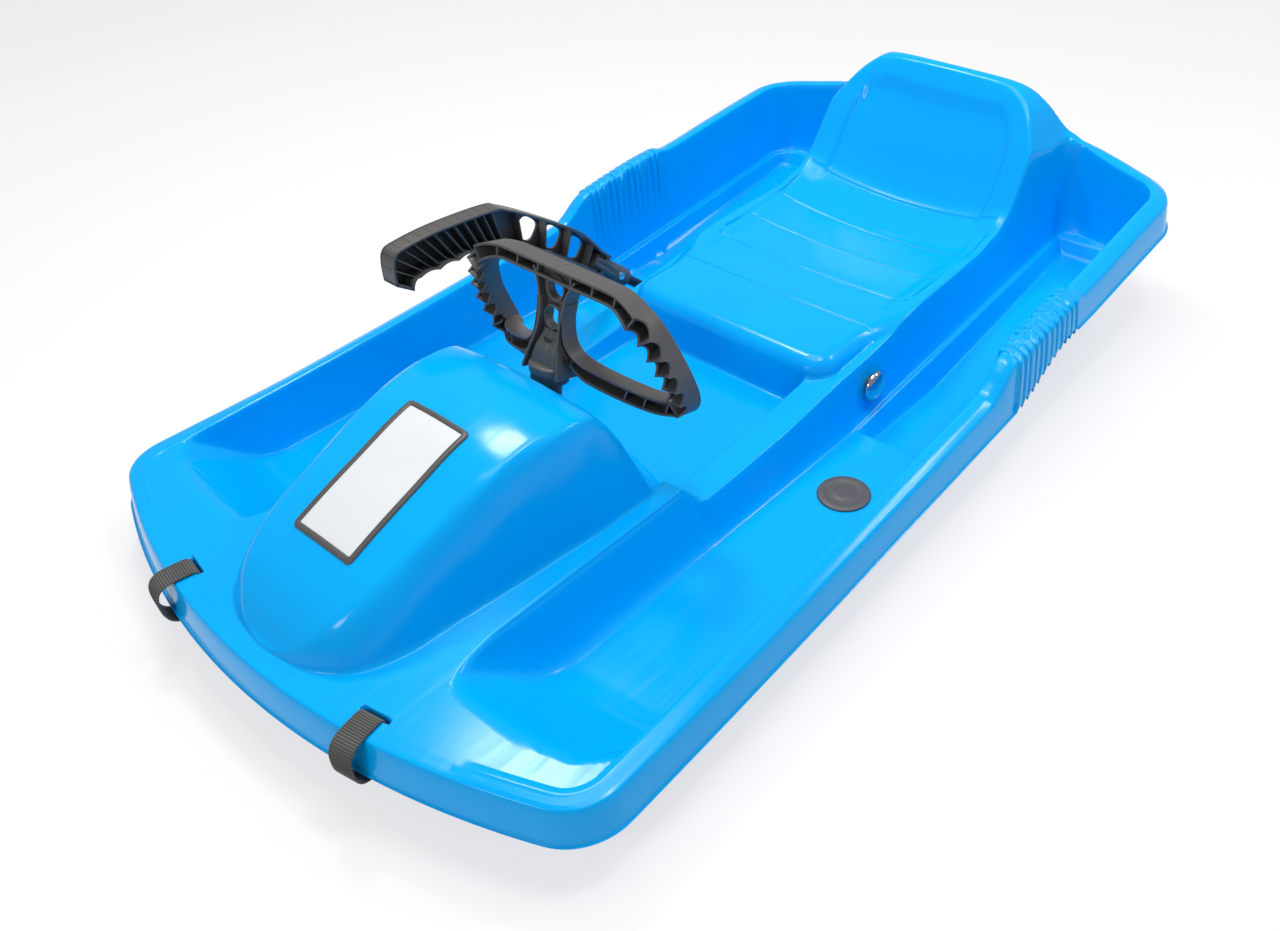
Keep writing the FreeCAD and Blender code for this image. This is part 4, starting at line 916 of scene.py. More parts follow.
    def console(self, x: Array, y: Array) -> Array:
        """Ledge beside the footwells, with the console's floor sunk between its leaning walls.

        Args:
            x: across.
            y: along.

        Returns:
            Heights.
        """
        ledge = curve(self.edge_height, y)
        ledge = np.where(y > self.ledge_end, np.minimum(ledge, self.ledge_top), ledge)
        ledge = ledge + (self.rim(x, y) - ledge) * ease(y, *self.ledge_along)
        lean = (x - curve(self.console_half, y)) / self.console_lean
        sunk = soft_max(
            self.console_deck + (ledge - self.console_deck) * lean, self.console_deck, self.console_blend
        )
        within = (y > self.console_front) & (y < self.console_rear)
        return np.where(within, soft_min(ledge, sunk, self.console_blend), ledge)

    def bonnet(self, x: Array, y: Array) -> Array:
        """Bonnet: the lowest of its crown, its flank and the dashboard's slope, run into each other.

        Args:
            x: across.
            y: along.

        Returns:
            Heights.
        """
        half, rise = curve(self.bonnet_half, y), curve(self.bonnet_rise, y)
        crown = self.deck + rise * (1 - self.bonnet_fall_share * (x / self.bonnet_reach) ** 2)
        flank = self.deck + (half - x) * curve(self.flank_slope, y)
        dome = soft_min(crown, flank, curve(self.shoulder_round, y))
        behind = y - self.dash_place + self.dash_bow * (x / self.dash_half) ** 2
        return soft_min(dome, self.dash_top - self.dash_slope * behind, self.dash_blend)

    def seat(self, x: Array, y: Array) -> Array:
        """Dished seat and backrest with sunk panels and cross grooves, rounded off at front and sides.

        Args:
            x: across.
            y: along.

        Returns:
            Heights, 0 ahead of the seat.
        """
        dish = np.clip(1 - (x / self.dish_half) ** 2, 0, 1)
        top = curve(self.seat_line, y) - curve(self.seat_dish, y) * dish
        panel = (1 - ease(x, *self.panel_across)) * band(y, *self.panel_along)
        edge = corner(self.recess_half - x, self.recess_top - y, self.recess_corner, 0.0)
        recess = ease(edge, *self.recess_lean) * ease(y, *self.recess_along)
        top = top - self.panel_depth * panel - self.recess_depth * recess
        groove_end = 1 - ease(x, *self.groove_across)
        for groove in self.grooves:
            top = top - self.groove_depth * np.exp(-(((y - groove) / self.groove_width) ** 2)) * groove_end
        top = soft_min(top, curve(self.shoulder, x), self.shoulder_blend)
        side = self.seat_half - x + self.seat_flare * ease(y, *self.flare_along)
        within = corner(y - self.seat_front, side, self.seat_corner, 0.0)
        turn = np.clip(1 - within / self.seat_round, 0.0, 1.0)
        fall = self.seat_round * (1 - np.sqrt(1 - turn ** 2)) + self.seat_drop * np.maximum(-within, 0.0)
        return np.where(y > self.seat_start, top - fall, 0.0)

    def middle(self, x: Array, y: Array) -> Array:
        """Everything between the footwells: the highest of console, bonnet and seat, run into each other.

        Args:
            x: across.
            y: along.

        Returns:
            Heights.
        """
        softer = self.dash_softer * (1 - ease(x, *self.dash_across)) * ease(y, *self.dash_along)
        low = soft_max(self.console(x, y), self.bonnet(x, y), self.bonnet_blend + softer)
        softer = self.tail_softer * ease(y, *self.tail_softer_along)
        return soft_max(low, self.seat(x, y), self.seat_blend + softer)

    def trimmed(self, shape: Array, y: Array, d: Array, rim: Array) -> Array:
        """Shape kept under the skirt's round profile and the rim's bevel, which both let go further inside.

        The skirt is lip + foot + (top - lip - step) (1 - (1 - u)^p), the bevel top - slope (bevel - reach).

        Args:
            shape: heights of the surface.
            y: along.
            d: distance inside the outline.
            rim: heights of the rim.

        Returns:
            Heights.
        """
        reach = d + self.rib_height * self.rib(y)
        lip, top = curve(self.lip_line, y), rim + self.rim_over
        inset, step = self.skirt_foot[-1]
        u = np.clip((reach - inset) / self.skirt_run, 0, 1)
        foot = np.interp(reach, *zip(*self.skirt_foot))
        skirt = lip + foot + (top - lip - step) * (1 - (1 - u) ** self.skirt_power)
        skirt = skirt + self.release * ease(d, *self.skirt_end)
        slope = self.bevel_slope + self.bevel_gain * ease(y, *self.bevel_along)
        slant = slope * np.maximum(self.bevel - reach, 0.0)
        bevel = top - slant + self.release * ease(d, self.bevel, self.bevel + self.bevel_run)
        return soft_min(soft_min(shape, skirt, self.skirt_blend), bevel, self.skirt_blend)

    def slot(self, x: Array, y: Array) -> Array:
        """1 in the tow straps' slots, which follow the front bow, and 0 elsewhere.

        The product of two eases, of the room left along the bow's arc and across it.

        Args:
            x: across.
            y: along.

        Returns:
            Values from 0 to 1.
        """
        centre = self.front_bow - self.half_length
        middle = self.front_bow - self.slot_setback
        arc = middle * (np.arctan2(x, centre - y) - math.asin(self.slot_offset / middle))
        ahead = np.hypot(x, y - centre) - middle
        wide, deep = self.slot_half
        return ease(wide - np.abs(arc), 0, 1.0) * ease(deep - np.abs(ahead), 0, 1.0) * (y < 0)

    def height(self, x: Array, y: Array) -> Array:
        """Top surface of the whole moulding.

        min(top, basin) run into each other, under the skirt's profile near the outline, less the slots.

        Args:
            x: across, 0 or more.
            y: along.

        Returns:
            Heights.
        """
        d, rim = self.inside(x, y), self.rim(x, y)
        crown = self.crown_height * np.clip(1 - ((d - self.crown_middle) / self.crown_half) ** 2, 0, 1)
        edge = rim + crown * ease(x, *self.crown_across) + self.rib_rise * self.rib(y)
        top = np.where(x < self.middle_half, self.middle(x, y), edge)
        blend = self.top_blend - self.nose_sharper * ease(-y, *self.nose_ahead)
        shape = soft_min(top, self.basin(x, y, d), blend)
        return self.trimmed(shape, y, d, rim) - self.slot_depth * self.slot(x, y)

    def normal(self, x: Array, y: Array) -> Array:
        """Unit normals (-dh/dx, -dh/dy, 1) from central differences.

        Args:
            x: across.
            y: along.

        Returns:
            Array of normals.
        """
        e = self.slope_step
        dx = (self.height(np.abs(x + e), y) - self.height(np.abs(x - e), y)) / (2 * e)
        dy = (self.height(np.abs(x), y + e) - self.height(np.abs(x), y - e)) / (2 * e)
        return unit(points3(-dx, -dy, 1.0))

    def outline(self, coarse: int) -> tuple:
        """Stations along the lip from the nose to the tail, closer at the grips and the slots.

        The lip is found on rays from the middle by halving, since the inside distance is positive within it.

        Args:
            coarse: keep one station in this many.

        Returns:
            Points and inward directions.
        """
        a = np.radians(np.linspace(-90, 90, self.outline_rays))
        low, high = np.zeros_like(a), np.full_like(a, self.outline_reach)
        for _ in range(self.halvings):
            mid = (low + high) / 2
            within = self.inside(np.abs(mid * np.cos(a)), mid * np.sin(a)) > 0
            low, high = np.where(within, mid, low), np.where(within, high, mid)
        line = np.stack([np.abs(low * np.cos(a)), low * np.sin(a)], axis=1)
        x, y = line.T
        front, rear, out = self.grip_zone
        grips = (y > front) & (y < rear) & (x > out)
        nose, inner, outer = self.slot_zone
        slots = (y < nose) & (x > inner) & (x < outer)
        density = 1 / self.outline_spacing + self.grip_gain * grips + self.slot_gain * slots
        steps = 0.5 * (density[1:] + density[:-1]) * np.diff(run_along(line))
        share = np.concatenate([[0.0], np.cumsum(steps)])
        line = resampled(line, share, np.linspace(0, share[-1], int(share[-1] / coarse) + 1))
        line[[0, -1], 0] = 0.0
        x, y = line.T
        e = self.outline_step
        gx = (self.inside(x + e, y) - self.inside(np.abs(x - e), y)) / (2 * e)
        gy = (self.inside(x, y + e) - self.inside(x, y - e)) / (2 * e)
        gx[[0, -1]] = 0.0
        return line, unit(np.stack([gx, gy], axis=1))

    def grid(self, coarse: int) -> Array:
        """Plan points on lines that follow the ledge and the inner wall, crossed by lines at each y.

        Args:
            coarse: 1 for the top surface, more for the underside.

        Returns:
            Plan points.
        """
        free, start, foot = self.free_half, self.wall_start, self.foot_half
        across = np.concatenate([
            np.arange(*self.middle_lines), self.ledge_lines,
            start + (foot - start) * np.array(self.wall_shares),
            self.trough_lines, np.arange(*self.floor_lines),
        ])
        along = [np.arange(*row) for row in self.cross_lines]
        along += [groove + np.array(self.groove_lines) for groove in self.grooves]
        lines = np.sort(np.concatenate(along))
        lines = lines[np.concatenate([[True], np.diff(lines) > self.line_gap])]
        if coarse > 1:
            skip_across, skip_along = self.coarse_skips
            across, lines = np.append(across[::skip_across], 0.0), lines[::skip_along]
        ref, y = np.meshgrid(np.unique(across), lines, indexing="ij")
        half = curve(self.edge_half, y)
        ledge = free + (ref - free) * (half - free) / (start - free)
        wall = half + (ref - start) * (foot - half) / (foot - start)
        x = np.select([ref < free, ref < start, ref < foot], [ref, ledge, wall], ref)
        return np.stack([x.ravel(), y.ravel()], axis=1)

    def plan(self, coarse: int) -> Array:
        """Points in plan on both sides: rings along the outline, and lines that follow the shape inside them.

        Args:
            coarse: 1 for the top surface, more for the underside.

        Returns:
            Plan points.
        """
        edge, inward = self.outline(coarse)
        insets = np.array(self.insets)
        if coarse > 1:
            insets = insets[list(self.coarse_insets)]
        rings = [edge + inward * d for d in insets]
        grid = self.grid(coarse)
        keep = self.inside(grid[:, 0], grid[:, 1]) > insets[-1] + self.grid_gaps[coarse > 1]
        foot, turn = self.foot_points(self.foot_step * coarse), self.corner_points(coarse)
        half = np.concatenate([*rings, grid[keep], foot, turn])
        return np.concatenate([half, half[half[:, 0] > self.on_axis] * np.array([-1.0, 1.0])])

    def foot_points(self, step: float) -> Array:
        """Plan points on lines beside the bonnet's foot, square offsets of (half(y), y).

        Args:
            step: spacing along the foot.

        Returns:
            Plan points.
        """
        y = np.linspace(*self.foot_range)
        line = np.stack([curve(self.bonnet_half, y), y], axis=1)
        run = run_along(line)
        line = resampled(line, run, np.linspace(0, run[-1], int(run[-1] / step)))
        ahead = unit(np.gradient(line, axis=0))
        square = np.stack([ahead[:, 1], -ahead[:, 0]], axis=1)
        points = np.concatenate([line + square * offset for offset in self.foot_lines])
        return points[points[:, 0] > self.foot_clear]

    def corner_points(self, coarse: int) -> Array:
        """Plan points on arcs round the seat's front corner.

        Args:
            coarse: keep one arc station in this many.

        Returns:
            Plan points.
        """
        turn = np.radians(np.arange(self.corner_start, 0, self.corner_step * coarse))[:, None]
        radius = self.seat_corner - np.array(self.corner_lines)
        x = self.seat_half - self.seat_corner + radius * np.cos(turn)
        y = self.seat_front + self.seat_corner + radius * np.sin(turn)
        return np.stack([x.ravel(), y.ravel()], axis=1)

    def sheet(self, coarse: int) -> tuple:
        """The surface as triangles over the plan points.

        Args:
            coarse: 1 for the top surface, more for the underside.

        Returns:
            Points, normals and triangles.
        """
        found = delaunay_2d_cdt([Vector(p) for p in self.plan(coarse).tolist()], [], [], 0, self.merge_gap)
        flat = np.array([(v.x, v.y) for v in found[0]])
        tris = np.array([f for f in found[2] if len(f) == 3])
        a, b, c = (flat[tris[:, k]] for k in range(3))
        area = (b[:, 0] - a[:, 0]) * (c[:, 1] - a[:, 1]) - (b[:, 1] - a[:, 1]) * (c[:, 0] - a[:, 0])
        tris = np.where(area[:, None] < 0, tris[:, ::-1], tris)
        mid = (a + b + c) / 3
        clear = self.inside(np.abs(mid[:, 0]), mid[:, 1]) > self.edge_clear
        keep = (np.abs(area) > self.least_area) & clear
        x, y = flat.T
        return points3(x, y, self.height(np.abs(x), y)), self.normal(x, y), tris[keep]

    def build(self, shop: Workshop) -> None:
        """Makes the top surface, and the underside one wall below it.

        Args:
            shop: dresses the pieces.
        """
        points, normals, tris = self.sheet(1)
        top = add_object("hull_moulding", Shape(points, tris.tolist()), normals=normals)
        shop.dress(top, "hull", Body.HULL, "hull_shell")

        points, normals, tris = self.sheet(2)
        edge = ease(self.inside(np.abs(points[:, 0]), points[:, 1]), *self.thin_edge)
        lower = points - normals * (self.wall * edge)[:, None]
        lower[:, 2] = np.maximum(lower[:, 2], self.least_height)
        under = add_object("hull_underside", Shape(lower, tris[:, ::-1].tolist()))
        shop.dress(under, "hull", Body.HULL)


# Steering wheel


@dataclass
class Wheel:
    """Butterfly wheel: two dished hand loops of channel section on a hub, in the steering axis's frame."""

    origin: tuple = (0.0, -173.0, 140.0)
    rake: float = 15.0
    half: float = 116.5
    rise: float = 96.0
    dish: float = 57.0
    stations: int = 420
    reach_out: float = 9.5
    reach_in: float = 2.0
    rim_in: float = 4.0
    tip_in: float = 2.0
    tip_along: tuple = (1.0, 1.15)
    bar_extra: float = 6.0
    bar_along: tuple = (-0.3, 0.05)
    depth: float = 16.0
    sheet: float = 2.3
    fingers: int = 6
    finger_depth: float = 8.0
    finger_power: float = 0.75
    rim_extra: float = 7.5
    rim_corners: tuple = (3, 7)
    rim_along: tuple = ((-0.25, 0.06), (0.95, 1.15))
    narrow_share: float = 0.36
    narrow_across: tuple = (14, 38)
    tail_share: float = 0.6
    rib_places: tuple = (-0.2, -0.45, -0.7, 1.18, 1.36, 1.54)
    rib_half: float = 0.9
    rib_setback: float = 0.6
    loop: tuple = (
        (0.0, 0.0, 0.895), (0.30, 0.0, 0.895), (0.55, 0.0, 0.89), (0.70, 0.05, 0.835),
        (0.81, 0.17, 0.70), (0.89, 0.44, 0.44), (0.91, 0.70, 0.22), (0.89, 0.84, 0.09),
        (0.82, 0.83, 0.045), (0.70, 0.62, 0.06), (0.46, 0.32, 0.14), (0.26, 0.13, 0.225),
        (0.15, 0.04, 0.36), (0.115, 0.0, 0.56), (0.12, 0.0, 0.72),
    )
    hub_half: tuple = ((9.6, 20), (20, 18), (34, 14.5), (46, 13), (60, 13.5), (72, 15.5), (82, 19), (92, 25))
    hub_depth: tuple = ((9.6, 27), (30, 22), (46, 17), (92, 15))
    hub_top: float = 90.5
    hub_stations: int = 60
    hole: float = 8.5
    holes: tuple = (54.0, 78.0)
    cell_half: float = 12.2
    cell_gap: float = 0.6
    web_faces: tuple = (-1.0, 3.5)
    boss_section: tuple = ((-0.2, -4.0), (2.0, -4.0), (2.4, 4.5), (-0.2, 4.5))
    foot: float = 6.4
    foot_top: float = 43.0
    foot_inset: tuple = (1.5, 1.0)
    foot_tapers: tuple = ((0.12, 30), (0.45, 26))
    foot_stations: int = 24
    foot_power: int = 4
    flutes: int = 10
    flute_share: float = 0.10
    edge_round: float = 0.55
    collar: tuple = ((17.5, 6.2), (18.5, 10.6), (18.5, 13), (17, 14.5), (12, 15))

    def axes(self) -> Array:
        """Directions across, back and up the steering axis, one to a row."""
        c, s = math.cos(math.radians(self.rake)), math.sin(math.radians(self.rake))
        return np.array([[1, 0, 0], [0, c, -s], [0, s, c]], float)

    def frames(self) -> tuple:
        """Stations of one loop's middle line with directions along, out and back.

        Back is the Y axis made square to along, and out is their cross product.

        Returns:
            Points, along, out, back and the share of each station on the finger rim.
        """
        corners = np.array(self.loop) * (self.half, self.dish, self.rise)
        path = smooth_path(corners, self.stations)
        along = unit(np.gradient(path, axis=0))
        back = unit(np.array([0.0, 1.0, 0.0]) - along * along[:, 1:2])
        ends = corners[list(self.rim_corners)]
        first, last = (int(np.argmin(np.linalg.norm(path - end, axis=1))) for end in ends)
        share = (np.arange(self.stations) - first) / (last - first)
        return path, along, np.cross(along, back), back, share

    def window(self, share: Array) -> Array:
        """1 on the finger rim, 0 elsewhere, with a smooth changeover."""
        return band(share, *self.rim_along)

    def front_edge(self, share: Array) -> Array:
        """Front edge of the channel: half its depth, and more on the finger rim, less |sin|^p hollows."""
        wave = np.abs(np.sin(np.pi * self.fingers * np.clip(share, 0, 1))) ** self.finger_power
        return -self.depth / 2 - self.window(share) * (self.rim_extra - self.finger_depth * wave)

    def one_loop(self) -> Shape:
        """Channel swept along one loop, with its cross ribs.

        P(i, j) = path_i + a_ij out_i + b_ij back_i for the channel's eight corners (a, b).

        Returns:
            The shape.
        """
        path, along, out, back, share = self.frames()
        t = self.sheet
        front = self.front_edge(share)
        rear = self.depth / 2 + self.bar_extra * (1 - ease(share, *self.bar_along))
        tail = np.arange(len(path)) > self.tail_share * len(path)
        wider = (1 - self.narrow_share) * ease(path[:, 0], *self.narrow_across)
        narrow = np.where(tail, self.narrow_share + wider, 1.0)
        deep = self.reach_in + self.rim_in * self.window(share) + self.tip_in * ease(share, *self.tip_along)
        wide = np.full(len(path), self.reach_out)
        a = np.stack([wide, wide, -deep, -deep, t - deep, t - deep, wide - t, wide - t], axis=1)
        a = a * narrow[:, None]
        b = np.stack([front, rear, rear, front, front, rear - t, rear - t, front], axis=1)
        shapes = [tube(path[:, None] + a[..., None] * out[:, None] + b[..., None] * back[:, None])]
        for place in (*np.linspace(0, 1, self.fingers + 1), *self.rib_places):
            i = int(np.argmin(np.abs(share - place)))
            low, high = front[i] + self.rib_setback, rear[i] - t
            flat = np.array([(a[i, 4], low), (a[i, 7], low), (a[i, 7], high), (a[i, 4], high)])
            section = path[i] + flat @ np.stack([out[i], back[i]])
            step = self.rib_half * along[i]
            shapes.append(tube(np.stack([section - step, section + step])))
        return gather(shapes)

    def hub(self) -> Shape:
        """Hub: two side walls, a web with two holes, a fluted foot and a collar.

        Returns:
            The shape.
        """
        s = np.linspace(self.foot, self.hub_top, self.hub_stations)
        half, depth = curve(self.hub_half, s), curve(self.hub_depth, s) / 2
        shapes = []
        for side in (-1, 1):
            outer, inner = side * half, side * (half - self.sheet)
            edges = ((outer, -depth), (outer, depth), (inner, depth), (inner, -depth))
            shapes.append(tube(np.stack([points3(x, y, s) for x, y in edges], axis=1)))
        for centre in self.holes:
            shapes += self.web_cell(centre)
        return gather([*shapes, self.hub_foot(), turned(self.collar)])

    def hub_foot(self) -> Shape:
        """Fluted foot of the hub: a round-cornered square whose reach has a wave 1 - f (1/2 + 1/2 cos n a)^2.

        Returns:
            The shape.
        """
        z = np.linspace(self.foot, self.foot_top, self.foot_stations)[:, None]
        halves = (curve(self.hub_half, z), curve(self.hub_depth, z) / 2)
        wide, deep = (
            (half - inset) * (1 - share * ease(z, low, self.foot_top))
            for half, inset, (share, low) in zip(halves, self.foot_inset, self.foot_tapers)
        )
        a = angles()
        wave = (0.5 + 0.5 * np.cos(a * self.flutes)) ** 2
        reach = round_reach(a, self.foot_power) * (1 - self.flute_share * wave)
        return tube(points3(wide * np.cos(a) * reach, deep * np.sin(a) * reach, z))

    def web_cell(self, centre: float) -> list:
        """Web round one hole: rays from the hole's rim to the cell's edge, closed front and back.

        Args:
            centre: height of the hole.

        Returns:
            The web and the hole's raised rim.
        """
        a = angles()
        c, v = np.cos(a), np.sin(a)
        reach = self.cell_half * square_reach(a)
        up = centre + reach * v
        wide = (curve(self.hub_half, up) - self.cell_gap) * np.clip(reach * c / self.cell_half, -1, 1)
        edge, rim = (wide, up), (self.hole * c, centre + self.hole * v)
        front, rear = self.web_faces
        loops = [points3(x, y, z) for (x, z), y in ((rim, front), (edge, front), (edge, rear), (rim, rear))]
        section = [(self.hole + wider, y) for wider, y in self.boss_section]
        boss = [points3(r * c, y, centre + r * v) for r, y in section]
        return [tube(np.array(loops), wrap=True), tube(np.array(boss), wrap=True)]

    def build(self, shop: Workshop) -> None:
        """Makes the wheel.

        Args:
            shop: dresses the piece.
        """
        loop = self.one_loop()
        shape = placed(gather([loop, loop.mirrored(), self.hub()]), self.origin, self.axes())
        wheel = rounded(add_object("wheel_moulding", shape, smooth_angle=40), self.edge_round)
        shop.dress(wheel, "dark", Body.STEERING, "steering_wheel")


# Brake handle


@dataclass
class Handle:
    """Lever handle: channel open towards the middle, ribbed grip, three windows and a round socket."""

    axle: tuple = (95.0, 45.0)
    slope: float = 41.0
    far: float = -156.0
    near: float = -138.2
    middle: float = -147.0
    sheet: float = 2.6
    stations: int = 200
    ribs: int = 12
    grip_start: float = -88.0
    grip_end: int = 196
    rib_back: float = 2.0
    rib_setback: float = 2.0
    post_setback: float = 4.0
    end_setback: float = 1.0
    tip_stations: int = 3
    root_stations: int = 4
    overlap: float = 1.0
    edge_round: float = 0.6
    waves: int = 4
    wave_depth: float = 2.6
    wave_start: float = -100.0
    wave_run: float = 84.0
    wave_along: tuple = ((-188, -183), (-104, -98))
    windows: tuple = (124.0, 159.0, 194.0)
    window_half: tuple = (12.6, 10.2)
    window_power: float = 3.2
    web_faces: tuple = (0.1, 3)
    socket_radius: float = 9.3
    socket_most_share: float = 1.03
    socket_flutes: int = 4
    socket_shift: float = 2.0
    socket_along: tuple = (60, 92)
    socket_shares: tuple = (
        (39.0, 0.60, 0), (39.0, 0.95, 0), (40.0, 1.02, 0), (43.0, 1.03, 0), (62.0, 1.03, 0),
        (63.5, 1.0, 0.04), (68.0, 1.0, 0.14), (76.0, 1.04, 0.2), (84.0, 1.08, 0.22), (92.0, 1.08, 0.2),
        (98.0, 0.9, 0.1),
    )
    upper: tuple = (
        (42.5, 108), (31, 119.5), (19, 135), (0.1, 155), (-43, 186), (-79, 209), (-98, 216.5),
        (-156, 222.5), (-196, 222.3), (-206.5, 218.5), (-209.6, 208), (-209.8, 192),
    )
    lower: tuple = (
        (26.5, 91.3), (14, 103.5), (0, 115.5), (-35, 144), (-84, 178.5), (-115, 184.5), (-133, 187),
        (-171, 189), (-184, 190), (-189.5, 188), (-192, 184), (-193, 180),
    )

    def rails(self) -> tuple:
        """Upper and lower edges in the lever's plane, with finger waves |sin(n pi t)| under the grip.

        Returns:
            Upper and lower (y, z) points.
        """
        up, low = smooth_path(self.upper, self.stations), smooth_path(self.lower, self.stations)
        t = np.clip((self.wave_start - low[:, 0]) / self.wave_run, 0, 1)
        wave = np.abs(np.sin(np.pi * self.waves * t)) - 0.5
        low[:, 1] += wave * self.wave_depth * band(low[:, 0], *self.wave_along)
        return up, low

    def plate(self, up: Array, low: Array, x0: float, x1: float) -> Shape:
        """Flat plate between an upper and a lower (y, z) line, from x0 to x1."""
        edges = ((up, x0), (up, x1), (low, x1), (low, x0))
        return tube(np.stack([points3(x, *flat.T) for flat, x in edges], axis=1))

    def flange(self, edge: Array, toward: Array) -> Shape:
        """Flat bar along one edge of the channel, as thick as the sheet toward the opposite edge."""
        return self.plate(edge, edge + unit(toward - edge) * self.sheet, self.far, self.near)

    def arm_axes(self) -> Array:
        """Directions along the arm and square to it, as rows of (y, z)."""
        c, s = math.cos(math.radians(self.slope)), math.sin(math.radians(self.slope))
        return np.array([[-c, s], [s, c]])

    def arm(self, along: Array, aside: Array) -> Array:
        """Points (y, z) from distances along the arm from the axle and square to it."""
        return np.array(self.axle) + np.stack(np.broadcast_arrays(along, aside), axis=-1) @ self.arm_axes()

    def to_arm(self, flat: Array) -> Array:
        """Distances along the arm from the axle and square to it, from points (y, z)."""
        return (flat - np.array(self.axle)) @ self.arm_axes()

    def window_cell(self, centre: float, pitch: float, up: Array, low: Array) -> Shape:
        """Web round one window: rays from a rounded window to the cell's edge.

        Args:
            centre: middle of the window along the arm.
            pitch: length of the cell.
            up: upper edge as (along, aside).
            low: lower edge as (along, aside).

        Returns:
            The shape.
        """
        a = angles()
        c, v = np.cos(a), np.sin(a)
        along = centre + pitch / 2 * square_reach(a) * c
        high, deep = np.interp(along, *up.T), np.interp(along, *low.T)
        edge = self.arm(along, (high + deep) / 2 + (high - deep) / 2 * square_reach(a) * v)
        middle = (np.interp(centre, *up.T) + np.interp(centre, *low.T)) / 2
        long, tall = self.window_half
        soft = round_reach(a, self.window_power)
        rim = self.arm(centre + long * soft * c, middle + tall * soft * v)
        front, rear = (self.far + face for face in self.web_faces)
        loops = [points3(x, *flat.T) for flat, x in ((rim, front), (edge, front), (edge, rear), (rim, rear))]
        return tube(np.array(loops), wrap=True)

    def socket(self) -> Shape:
        """Round socket with flutes where it runs into the arm: r(a) = R (1 - f cos^2 n a).

        Returns:
            The shape.
        """
        along, share, flute = np.array(self.socket_shares).T[..., None]
        a = angles()
        r = self.socket_radius * share * (1 - flute * np.cos(self.socket_flutes * a) ** 2)
        flat = self.arm(along, r * np.sin(a) + self.socket_shift * ease(along, *self.socket_along))
        most = self.socket_most_share * self.socket_radius
        return tube(points3(self.middle + np.minimum(r, most) * np.cos(a), flat[..., 0], flat[..., 1]))

    def build(self, shop: Workshop) -> None:
        """Makes the handle: flanges, socket, plates, window cells, cross ribs and end walls.

        Args:
            shop: dresses the piece.
        """
        up, low = self.rails()
        up_arm, low_arm = self.to_arm(up), self.to_arm(low)
        mean = (up_arm[:, 0] + low_arm[:, 0]) / 2
        pitch = self.windows[1] - self.windows[0]
        start, end = self.windows[0] - pitch / 2, self.windows[-1] + pitch / 2
        first, last = (int(np.argmax(mean > place)) for place in (start + self.overlap, end - self.overlap))
        places = (start, start + pitch, start + 2 * pitch, end)
        posts = [int(np.argmin(np.abs(mean - place))) for place in places]
        grip = float(np.argmin(np.abs(low[:, 0] - self.grip_start)))
        bars = np.linspace(grip, self.grip_end, self.ribs + 1)[:-1].astype(int)
        back = self.far + self.rib_back
        spans = [(slice(0, first + 1), self.far, self.far + self.sheet)]
        spans += [(slice(last, None), self.far, self.far + self.sheet)]
        spans += [(slice(i, i + 2), back, self.near - self.rib_setback) for i in bars]
        spans += [(slice(i, i + 2), back, self.near - self.post_setback) for i in posts]
        spans += [(slice(-self.tip_stations, None), self.far, self.near)]
        spans += [(slice(0, self.root_stations), self.far, self.near - self.end_setback)]
        shapes = [self.flange(up, low), self.flange(low, up), self.socket()]
        shapes += [self.plate(up[part], low[part], x0, x1) for part, x0, x1 in spans]
        shapes += [self.window_cell(centre, pitch, up_arm, low_arm) for centre in self.windows]
        handle = rounded(add_object("handle_moulding", gather(shapes), smooth_angle=40), self.edge_round)
        shop.dress(handle, "dark", Body.BRAKE, "brake_handle")


# Trim


@dataclass
class Strap:
    """Webbing loop through a slot of the front deck."""

    side: int
    edge: float = -495.0
    bow: float = 650.0
    turn: float = 10.44
    width: float = 20.0
    thickness: float = 1.7
    edge_round: float = 0.5
    edge_share: float = 0.55
    ribs: float = 2.2
    rib_height: float = 0.22
    stations: int = 360
    path: tuple = (
        (28.0, 54), (28.0, 62), (27.6, 67.5), (24.6, 71.2), (18, 71.7), (9, 71.6), (1.5, 70.6),
        (-4.4, 67.2), (-7.4, 61), (-7.8, 53), (-6.8, 45), (-3.2, 37.5), (4, 33.2), (13, 32.6),
        (21, 35.5), (26, 40.5), (27.8, 47),
    )

    def build(self, shop: Workshop) -> None:
        """Makes the loop: rounded flat section swept along a closed path, thickened by ribs cos(2 pi s / p).

        Args:
            shop: dresses the piece.
        """
        path = smooth_path(self.path, self.stations, closed=True)
        ahead = np.roll(path, -1, axis=0) - np.roll(path, 1, axis=0)
        out = unit(np.stack([ahead[:, 1], -ahead[:, 0]], axis=1))
        run = run_along(path)
        whole = run[-1] + np.linalg.norm(path[0] - path[-1])
        bump = self.rib_height * np.cos(2 * np.pi * round(whole / self.ribs) * run / whole)
        half = self.width / 2
        top = np.array([-half, self.edge_round - half, 0, half - self.edge_round, half])
        lift = np.array([self.edge_share, 1, 1, 1, self.edge_share])
        x = np.concatenate([top, top[::-1]])
        level = np.concatenate([lift, -lift]) * (self.thickness / 2 + bump[:, None])
        centre = self.edge + self.bow
        y = self.edge + path[:, :1] + level * out[:, :1] - centre
        z = path[:, 1:] + level * out[:, 1:]
        c, s = math.cos(math.radians(self.turn * self.side)), math.sin(math.radians(self.turn * self.side))
        shape = tube(points3(x * c - y * s, centre + x * s + y * c, z), wrap=True)
        shape.uv = np.stack(np.broadcast_arrays(run[:, None], x + half), axis=-1).reshape(-1, 2) * MM
        name = "left" if self.side > 0 else "right"
        strap = add_object("strap_" + name, shape, smooth_angle=60)
        shop.dress(strap, "webbing", Body.HULL, "tow_strap_" + name)


